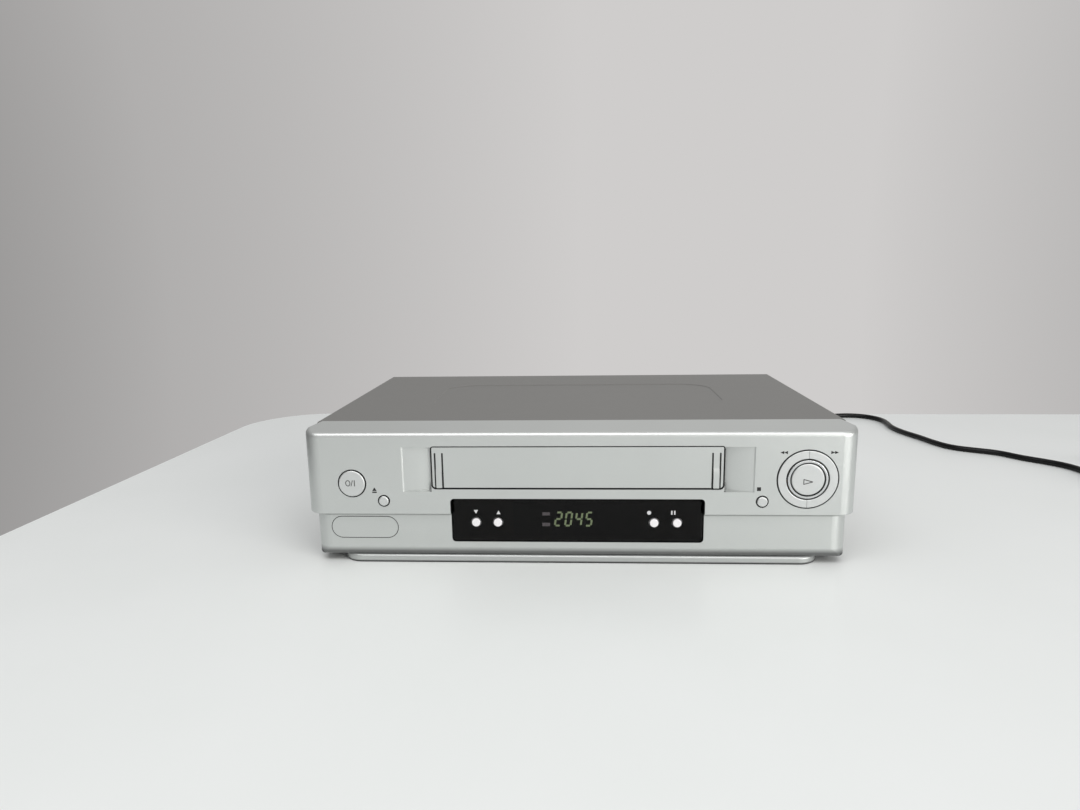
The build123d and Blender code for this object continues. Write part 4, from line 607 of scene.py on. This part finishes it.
# ---------------------------------------------------------------- Display window
# A window of smoked plastic, polished in front, with the display tube close behind it. White
# signs are printed above the four keys, and the tube shows the hour in slanted digits.
smoke = Finish("window_smoke", transmission_weight=1.0, ior=1.26)
film = smoke.noise(18 * MM, 3)
smoke.set(
    base_color=smoke.blend(film, (0.030, 0.026, 0.028), (0.042, 0.037, 0.040)),
    roughness=film * 0.06 + 0.03,
)
dress(smoke, "display_window")

white_ink = inked("white_ink", (214, 214, 214))
key_signs = [triangle(-66.5, 35.7, 2.9, 2.6, "down"), triangle(-51.5, 35.4, 2.7, 2.6, "up")]
key_signs += circle(47.4, 35.4, 2.7, 2.7, None)
key_signs += [bar(62.1, 35.5, 0.95, 2.7), bar(64.0, 35.5, 0.95, 2.7)]
printed("key_signs", "case", white_ink, 2.9, key_signs)

tube_glass = Finish("tube_glass", coat_weight=1.0, coat_roughness=0.03, roughness=0.3)
across, _, up = tube_glass.axes()
mesh_lines = (across * 9000).maths("SINE", across * 9000) * (up * 9000).maths("SINE", up * 9000)
mesh_share = tube_glass.band(mesh_lines, -0.4, 0.6)
tube_glass.set(base_color=tube_glass.blend(mesh_share, grey(20, 23, 22), grey(44, 50, 48)))
dress(tube_glass, "fluorescent_display")

# Each digit lights some of seven bars: top, upper right, lower right, foot, lower left, upper left, middle
DIGIT_BARS = {"0": "abcdef", "1": "bc", "2": "abged", "4": "fgbc", "5": "afgcd", "8": "abcdefg"}
DIGIT_WIDE = 4.9
DIGIT_HIGH = 9.1
DIGIT_STEP = 6.75
DIGIT_LOW = 25.1
DIGIT_BAR = 1.25
DIGIT_LEAN = 0.14


def digit_bars(digit, x):
    """The lit bars of a digit whose left edge is at x."""
    low, high, middle = DIGIT_LOW, DIGIT_LOW + DIGIT_HIGH, DIGIT_LOW + DIGIT_HIGH / 2
    left, right, trim = x + DIGIT_BAR / 2, x + DIGIT_WIDE - DIGIT_BAR / 2, 0.45
    ends = {"a": ((left, high), (right, high)), "d": ((left, low), (right, low)),
            "g": ((left, middle), (right, middle)),
            "f": ((left, middle), (left, high)), "b": ((right, middle), (right, high)),
            "e": ((left, low), (left, middle)), "c": ((right, low), (right, middle))}
    bars = []
    for name in DIGIT_BARS[digit]:
        start, end = (Vector(point) for point in ends[name])
        pull = (end - start).normalized() * trim
        bars.append(stroke(start + pull, end - pull, DIGIT_BAR))
    return bars


def lit(name, colour, strength):
    """Phosphor that glows evenly but for its grain."""
    finish = Finish(name, base_color=grey(30, 34, 32), roughness=0.6, emission_strength=strength)
    grain = finish.noise(0.5 * MM, 2)
    finish.set(emission_color=finish.blend(grain, grey(*(shade * 0.85 for shade in colour)), grey(*colour)))
    return finish


lit_phosphor = lit("lit_phosphor", (168, 196, 146), 13.0)
dim_phosphor = lit("dim_phosphor", (150, 152, 150), 8.0)
digits = []
for n, digit in enumerate("2045"):
    digits += digit_bars(digit, -18.6 + n * DIGIT_STEP)
printed("clock_digits", "case", lit_phosphor, 7.2, digits, lean=DIGIT_LEAN)
tube_signs = [bar(-20.2, 33.2, 5.0, 2.2), bar(-20.2, 25.8, 5.2, 2.4)]
printed("tube_signs", "case", dim_phosphor, 7.2, tube_signs)


# ---------------------------------------------------------------- Buttons and trim ring
# Six silver buttons in the panel and four white keys in the window, moulded and set on push
# switches. A bright ring parts the play button from the two half-ring buttons around it.
# The buttons' sides are dark grey: bare plastic, and painted shade in the gaps round them.
button_silver = silvered("button_silver", (208, 210, 209), bare_and_shadow_beyond(-0.3))
dress(button_silver, "standby_button", "eject_button", "stop_button", "play_button", "rewind_button",
      "fast_forward_button")

key_white = Finish("key_white", specular_ior_level=0.45)
milk = key_white.noise(2.5 * MM, 3)
key_white.set(
    base_color=key_white.blend(milk, grey(226, 223, 224), grey(234, 232, 232)),
    roughness=milk * 0.1 + 0.3,
)
dress(key_white, "programme_down_button", "programme_up_button", "record_button", "pause_button")

ring_bright = Finish("ring_bright", metallic=0.85)
turned = ring_bright.noise(0.6 * MM, 2)
ring_bright.set(
    base_color=ring_bright.blend(turned, grey(196, 198, 198), grey(212, 214, 214)),
    roughness=turned * 0.1 + 0.2,
)
dress(ring_bright, "play_trim_ring")

grey_ink = inked("grey_ink", (70, 70, 70))
play_sign = [stroke((144.3, 59.2), (149.9, 57.6), 0.55), stroke((149.9, 57.6), (144.3, 56.0), 0.55),
             stroke((144.3, 55.75), (144.3, 59.45), 0.55)]
printed("play_sign", "play_button", grey_ink, -1.0, play_sign)
standby_sign = circle(-150.2, 56.4, 3.4, 4.2, 0.55)
standby_sign += [stroke((-148.2, 54.4), (-147.0, 58.4), 0.5), bar(-145.8, 56.4, 0.6, 4.1)]
printed("standby_sign", "standby_button", grey_ink, -1.0, standby_sign)


# ---------------------------------------------------------------- Cassette door
# A flap in the panel's silver paint, hung from two pins behind its upper edge and held shut by a
# small torsion spring. Its ends have finger grips between moulded grooves.
# The door's grooves and edges deeper than 0.35 mm are dark grey: bare plastic, and painted shade.
door_silver = silvered("door_silver", PAINT_SHADE, bare_and_shadow_beyond(0.35))
dress(door_silver, "cassette_door")
spring_steel = Finish("spring_steel", metallic=1.0)
draw_lines = spring_steel.noise(0.3 * MM, 2)
spring_steel.set(
    base_color=spring_steel.blend(draw_lines, grey(150, 150, 152), grey(196, 196, 198)),
    roughness=draw_lines * 0.2 + 0.2,
)
dress(spring_steel, "door_spring")


# ---------------------------------------------------------------- Cover
# A folded steel cover in dark grey textured paint with a pressed bead in its top, held by
# black pan-head screws in its sides. The paint is worn to bare metal at a few points of the edge.
cover_grey = Finish("cover_grey", specular_ior_level=0.5)
pebble = cover_grey.noise(0.55 * MM, 2)
dust = cover_grey.noise(60 * MM, 4, 0.55)
x, _, z = cover_grey.axes()
side_edge = cover_grey.band(x.size(), 0.1742, 0.1755) * cover_grey.band(z, 0.0918, 0.0932)
chips = side_edge * cover_grey.noise(3.5 * MM, 4, 0.65).over(0.63)
painted = cover_grey.blend(dust * 0.6 + pebble * 0.4, grey(100, 99, 96), grey(116, 115, 112))
cover_grey.set(
    base_color=cover_grey.blend(chips, painted, grey(150, 148, 143)),
    metallic=chips * 0.8,
    roughness=pebble * 0.12 + dust * 0.12 + 0.34,
    normal=cover_grey.height(pebble, 0.03 * MM),
)
dress(cover_grey, "top_cover")

screw_black = Finish("screw_black", specular_ior_level=0.5)
rub = screw_black.noise(0.8 * MM, 4, 0.6)
bare = screw_black.band(rub, 0.6, 0.72)
screw_black.set(
    base_color=screw_black.blend(bare, grey(28, 28, 30), grey(120, 118, 114)),
    metallic=bare,
    roughness=rub * 0.2 + 0.28,
)
dress(screw_black, "cover_screws")


# ---------------------------------------------------------------- Base
# A zinc-plated steel plate closes the bottom. It stands on the panel's plinth in front and on two
# rubber feet behind, and a black moulded frame on it carries the board and the tape deck.
zinc = Finish("zinc_steel", metallic=1.0)
spangle = zinc.node("ShaderNodeTexVoronoi", {"feature": "F1"},
                    {"Vector": zinc.place, "Scale": 1 / (7 * MM)}, 1)
split = zinc.node("ShaderNodeSeparateColor", {}, {"Color": spangle})
grain = zinc.noise(0.5 * MM, 3)
zinc.set(
    base_color=zinc.blend(split * 0.7 + grain * 0.3, grey(150, 152, 153), grey(184, 186, 185)),
    roughness=split * 0.15 + grain * 0.1 + 0.3,
)
dress(zinc, "bottom_plate", "cassette_holder")

foot_rubber = rubbery("foot_rubber", 26, 46, 0.62, 0.4 * MM)
dress(foot_rubber, "feet")


def moulded(name, base, spread, gloss, grain):
    """Moulded plastic with a spark-eroded grain so many metres across."""
    finish = Finish(name, specular_ior_level=0.45)
    cloud = finish.noise(25 * MM, 3)
    dark, light = [grey(*(shade + change for shade in base)) for change in (-spread, spread)]
    finish.set(
        base_color=finish.blend(cloud, dark, light),
        roughness=cloud * 0.1 + gloss,
        normal=finish.height(finish.noise(grain, 2), grain * 0.08),
    )
    return finish


frame_plastic = moulded("frame_plastic", (40, 40, 42), 6, 0.5, 0.5 * MM)
dress(frame_plastic, "chassis_frame")


# ---------------------------------------------------------------- Back panel
# A black moulded back with vents and openings for the connectors, screwed to the base and the
# cover's frame. The recess for the type plate holds a plain brushed foil with nothing on it.
rear_plastic = moulded("rear_plastic", (34, 34, 35), 6, 0.5, 0.45 * MM)
dress(rear_plastic, "rear_panel")

REAR_FACE = FRONT + 0.2185
foil = Finish("plain_foil", metallic=0.9)
brushed = foil.noise(0.25 * MM, 3, stretch=(0.03, 1, 1))
foil.set(
    base_color=foil.blend(brushed, grey(176, 177, 178), grey(204, 205, 205)),
    roughness=brushed * 0.2 + 0.25,
)
shape = bmesh.new()
ring = [shape.verts.new((x * MM, REAR_FACE - 0.3 * MM, z * MM)) for x, z in bar(42, 44, 62.6, 18.6)]
bmesh.ops.contextual_create(shape, geom=ring)
bmesh.ops.bevel(shape, geom=ring, offset=1.5 * MM, affect="VERTICES", segments=5, profile=0.5, material=-1)
grown = bmesh.ops.extrude_face_region(shape, geom=list(shape.faces))["geom"]
raised = [v for v in grown if isinstance(v, bmesh.types.BMVert)]
bmesh.ops.translate(shape, verts=raised, vec=(0, 0.12 * MM, 0))
bmesh.ops.recalc_face_normals(shape, faces=shape.faces)
piece("plain_foil", shape, foil)


# The back's screws are the same as the cover's: one head is copied and turned to face back.
REAR_SCREWS = ((-166, 86), (-60, 86), (100, 86), (166, 86), (-166, 12), (166, 12), (-104, 12), (40, 12))
SIDE_SCREW = Vector((0.17575, FRONT + 0.048, 0.010))
shape = bmesh.new()
for x, z in REAR_SCREWS:
    before = set(shape.verts)
    shape.from_mesh(nodes["cover_screws"].data)
    copied = [v for v in shape.verts if v not in before]
    surplus = [v for v in copied if v.co.x < SIDE_SCREW.x - 2 * MM or abs(v.co.y - SIDE_SCREW.y) > 6 * MM]
    bmesh.ops.delete(shape, geom=surplus, context="VERTS")
    head = [v for v in shape.verts if v not in before]
    bmesh.ops.rotate(shape, verts=head, cent=SIDE_SCREW, matrix=Matrix.Rotation(pi / 2, 3, "Z"))
    bmesh.ops.translate(shape, verts=head, vec=Vector((x * MM, REAR_FACE, z * MM)) - SIDE_SCREW)
bmesh.ops.remove_doubles(shape, verts=shape.verts, dist=0.01 * MM)
piece("rear_screws", shape, screw_black)


# ---------------------------------------------------------------- Connectors
# Black video sockets with sprung contacts, a tinned tuner box with its aerial sockets, and a
# pair of phono sockets, white for the left channel and red for the right.
socket_black = moulded("socket_black", (30, 30, 31), 5, 0.42, 0.3 * MM)
dress(socket_black, "scart_sockets")

nickel = Finish("nickel", metallic=1.0)
haze = nickel.noise(3 * MM, 4, 0.6)
nickel.set(
    base_color=nickel.blend(haze, grey(186, 184, 176), grey(214, 212, 206)),
    roughness=haze * 0.25 + 0.14,
)
SCART_X = -142.0
DEPTH = 219.0
shape = bmesh.new()
for z in (19.0, 38.0):
    for n in range(20):
        x = SCART_X - 18.6 + (n // 2) * 3.8 + (1.9 if n % 2 else 0) + 0.7
        blade = bmesh.ops.create_cube(shape, size=1)["verts"]
        bmesh.ops.scale(shape, verts=blade, vec=(0.8 * MM, 4.0 * MM, 0.35 * MM))
        bend = -4 if n % 2 else 4
        bmesh.ops.rotate(shape, verts=blade, cent=(0, 0, 0), matrix=Matrix.Rotation(radians(bend), 3, "X"))
        height = z - 2.2 if n % 2 else z + 2.2
        bmesh.ops.translate(shape, verts=blade, vec=(x * MM, FRONT + (DEPTH - 3.4) * MM, height * MM))
piece("scart_contacts", shape, nickel)

tinned = Finish("tinned_steel", metallic=0.95)
spread = tinned.noise(9 * MM, 4, 0.6)
streak = tinned.noise(1.2 * MM, 3, stretch=(1, 1, 0.15))
tinned.set(
    base_color=tinned.blend(spread * 0.6 + streak * 0.4, grey(158, 158, 154), grey(196, 195, 190)),
    roughness=spread * 0.2 + streak * 0.1 + 0.24,
    normal=tinned.height(spread, 0.05 * MM),
)
dress(tinned, "head_amplifier_can")

# The tuner's box is tinned and its two sockets, which stand out behind the wall, are nickel plated
tuner_metal = Finish("tuner_metal", metallic=0.95)
spread = tuner_metal.noise(7 * MM, 4, 0.6)
_, y, _ = tuner_metal.axes()
plated = y.over(REAR_FACE - 1.5 * MM)
tuner_metal.set(
    base_color=tuner_metal.blend(plated, grey(176, 176, 171), grey(208, 206, 199)),
    roughness=spread * 0.18 + 0.26 - plated * 0.08,
    normal=tuner_metal.height(spread, 0.03 * MM),
)
dress(tuner_metal, "tuner")

# Each phono socket is a coloured collar round a nickel barrel with a coloured core
PHONO_Z = 0.019
phono = Finish("phono_sockets")
x, y, z = phono.axes()
shine = phono.noise(2 * MM, 3)
barrel = y.over(REAR_FACE + 0.65 * MM)
side = x.over(0.070)
off_x = x - side * 0.016 - 0.062
off_z = z - PHONO_Z
square = off_x * off_x + off_z * off_z
core = square.maths("LESS_THAN", square, (2.62 * MM) ** 2)
metal = barrel * (1 - core)
outside = y.over(REAR_FACE - 0.2 * MM)
colour = phono.blend(side, grey(206, 204, 198), grey(150, 26, 24))
body = phono.blend(outside, grey(30, 30, 31), colour)
phono.set(
    base_color=phono.blend(metal, body, grey(206, 204, 198)),
    metallic=metal,
    roughness=shine * 0.15 + 0.24,
)
dress(phono, "audio_jacks")


# ---------------------------------------------------------------- Boards and power supply
# Paper-phenolic boards with a lacquered face and a copper side, black and sleeved components, a
# switching transformer wound under yellow tape, and a finned heat sink. The switches are black.
BOARD_TOP = 8.6 * MM
board_tan = Finish("board_tan", roughness=0.45, coat_weight=0.25, coat_roughness=0.3)
_, _, z = board_tan.axes()
fibre = board_tan.noise(1.8 * MM, 4, 0.6, stretch=(1, 0.25, 1))
cells = board_tan.node("ShaderNodeTexVoronoi", {"feature": "DISTANCE_TO_EDGE"},
                       {"Vector": board_tan.place, "Scale": 1 / (9 * MM)})
tracks = board_tan.band(cells, 0.07, 0.055)
under = z.maths("LESS_THAN", z, 7.3 * MM)
lacquer = board_tan.blend(fibre, grey(168, 128, 74), grey(190, 150, 92))
foil_side = board_tan.blend(tracks, grey(58, 96, 60), grey(96, 132, 74))
board_tan.set(
    base_color=board_tan.blend(under, lacquer, foil_side),
    normal=board_tan.height(tracks, 0.04 * MM),
)
dress(board_tan, "main_board", "timer_board")

# Plastic sleeves on the round cans end short of their tops, which are bare aluminium
component_black = Finish("component_black")
_, _, z = component_black.axes()
mottle = component_black.noise(2 * MM, 3)
up = component_black.node("ShaderNodeNewGeometry", {}, {}, 1)
facing = component_black.node("ShaderNodeSeparateXYZ", {}, {"Vector": up}, 2)
tops = facing.over(0.9) * z.over(BOARD_TOP + 7.5 * MM)
parcel = component_black.node("ShaderNodeTexVoronoi", {"feature": "F1"},
                              {"Vector": component_black.place, "Scale": 1 / (26 * MM)}, 1)
hue = component_black.node("ShaderNodeSeparateColor", {}, {"Color": parcel})
sleeve = component_black.blend(hue.over(0.62), grey(30, 30, 32), grey(34, 40, 74))
component_black.set(
    base_color=component_black.blend(tops, sleeve, grey(168, 168, 166)),
    metallic=tops * 0.9,
    roughness=mottle * 0.15 + 0.32,
)
dress(component_black, "board_components")

winding = Finish("transformer")
_, y, z = winding.axes()
core_y = FRONT + 0.118
off_core = (y - core_y).size()
wound = off_core.over(8.3 * MM) * z.over(BOARD_TOP + 5 * MM)
turns = winding.noise(0.8 * MM, 2, stretch=(0.1, 1, 1))
ferrite_grain = winding.noise(0.7 * MM, 3)
ferrite = winding.blend(ferrite_grain, grey(50, 51, 54), grey(70, 71, 74))
tape = winding.blend(turns, grey(188, 150, 48), grey(206, 172, 74))
winding.set(
    base_color=winding.blend(wound, ferrite, tape),
    roughness=ferrite_grain * 0.2 + 0.4 - wound * 0.15,
)
dress(winding, "power_transformer")

aluminium = Finish("aluminium", metallic=0.95)
milled = aluminium.noise(0.5 * MM, 3, stretch=(1, 1, 0.05))
aluminium.set(
    base_color=aluminium.blend(milled, grey(178, 180, 182), grey(208, 209, 210)),
    roughness=milled * 0.2 + 0.3,
    normal=aluminium.height(milled, 0.01 * MM),
)
dress(aluminium, "heat_sink")

switch_black = moulded("switch_black", (32, 32, 34), 5, 0.45, 0.3 * MM)
dress(switch_black, "tact_switches")


# ---------------------------------------------------------------- Tape deck
# A zinc-plated steel deck with pressed levers, the turned aluminium head drum, the capstan with
# its flat motor, nickel-plated guides and heads, rubber rollers and black reel tables.
deck_steel = Finish("deck_steel", metallic=1.0)
roll = deck_steel.noise(1.5 * MM, 4, 0.6, stretch=(0.08, 1, 1))
tint = deck_steel.noise(30 * MM, 3)
deck_steel.set(
    base_color=deck_steel.blend(tint * 0.6 + roll * 0.4, grey(158, 160, 158), grey(190, 190, 180)),
    roughness=roll * 0.15 + tint * 0.1 + 0.27,
    normal=deck_steel.height(roll, 0.01 * MM),
)
dress(deck_steel, "deck_plate", "idler_arm", "pinch_arm", "tension_arm", "loader_frame", "loader_slide")


def turned_metal(name, dark, light, x, d, gloss, pitch=0.35 * MM):
    """Metal turned about an upright axis at x and depth d, which leaves fine rings."""
    finish = Finish(name, metallic=1.0)
    ring = finish.radius(x * MM, FRONT + d * MM)
    lines = (ring * (2 * pi / pitch)).maths("SINE", ring * (2 * pi / pitch)) * 0.5 + 0.5
    haze = finish.noise(6 * MM, 3)
    finish.set(
        base_color=finish.blend(lines * 0.4 + haze * 0.6, grey(dark), grey(light)),
        roughness=haze * 0.1 + lines * 0.06 + gloss,
        normal=finish.height(lines, 0.004 * MM),
    )
    return finish


drum_metal = turned_metal("drum_metal", 196, 222, 0, 177, 0.14)
dress(drum_metal, "lower_drum", "upper_drum")
capstan_steel = turned_metal("capstan_steel", 172, 204, 58, 146, 0.18)
dress(capstan_steel, "capstan")
motor_steel = turned_metal("motor_steel", 168, 200, -79.5, 148, 0.22)
dress(motor_steel, "loading_motor")
dress(nickel, "supply_guide", "take_up_guide")

# Six copper coils lie round the shaft on the motor's board
stator = Finish("capstan_stator")
ring = stator.radius(0.058, FRONT + 0.146)
_, _, z = stator.axes()
raised = z.over(10.65 * MM) * ring.maths("LESS_THAN", ring, 20 * MM)
wire = stator.noise(0.3 * MM, 2)
copper = stator.blend(wire, grey(150, 82, 42), grey(196, 118, 66))
stator.set(
    base_color=stator.blend(raised, grey(52, 84, 60), copper),
    metallic=raised * 0.7,
    roughness=wire * 0.2 + 0.35,
)
dress(stator, "capstan_stator")

tape_head = Finish("tape_head", metallic=1.0)
can_lines = tape_head.noise(0.4 * MM, 3, stretch=(1, 1, 0.05))
tape_head.set(
    base_color=tape_head.blend(can_lines, grey(176, 176, 172), grey(208, 207, 202)),
    roughness=can_lines * 0.15 + 0.18,
)
dress(tape_head, "full_erase_head", "audio_control_head")

roller_rubber = rubbery("roller_rubber", 22, 44, 0.5, 0.35 * MM)
dress(roller_rubber, "drive_belt", "idler_wheel", "pinch_roller")
reel_plastic = moulded("reel_plastic", (36, 36, 38), 6, 0.4, 0.4 * MM)
dress(reel_plastic, "supply_reel", "take_up_reel")

acetal = Finish("white_acetal", specular_ior_level=0.45)
flow = acetal.noise(8 * MM, 3)
acetal.set(
    base_color=acetal.blend(flow, grey(216, 214, 205), grey(230, 229, 222)),
    roughness=flow * 0.12 + 0.36,
)
dress(acetal, "clutch_pulley", "cam_gear", "loading_pinion")
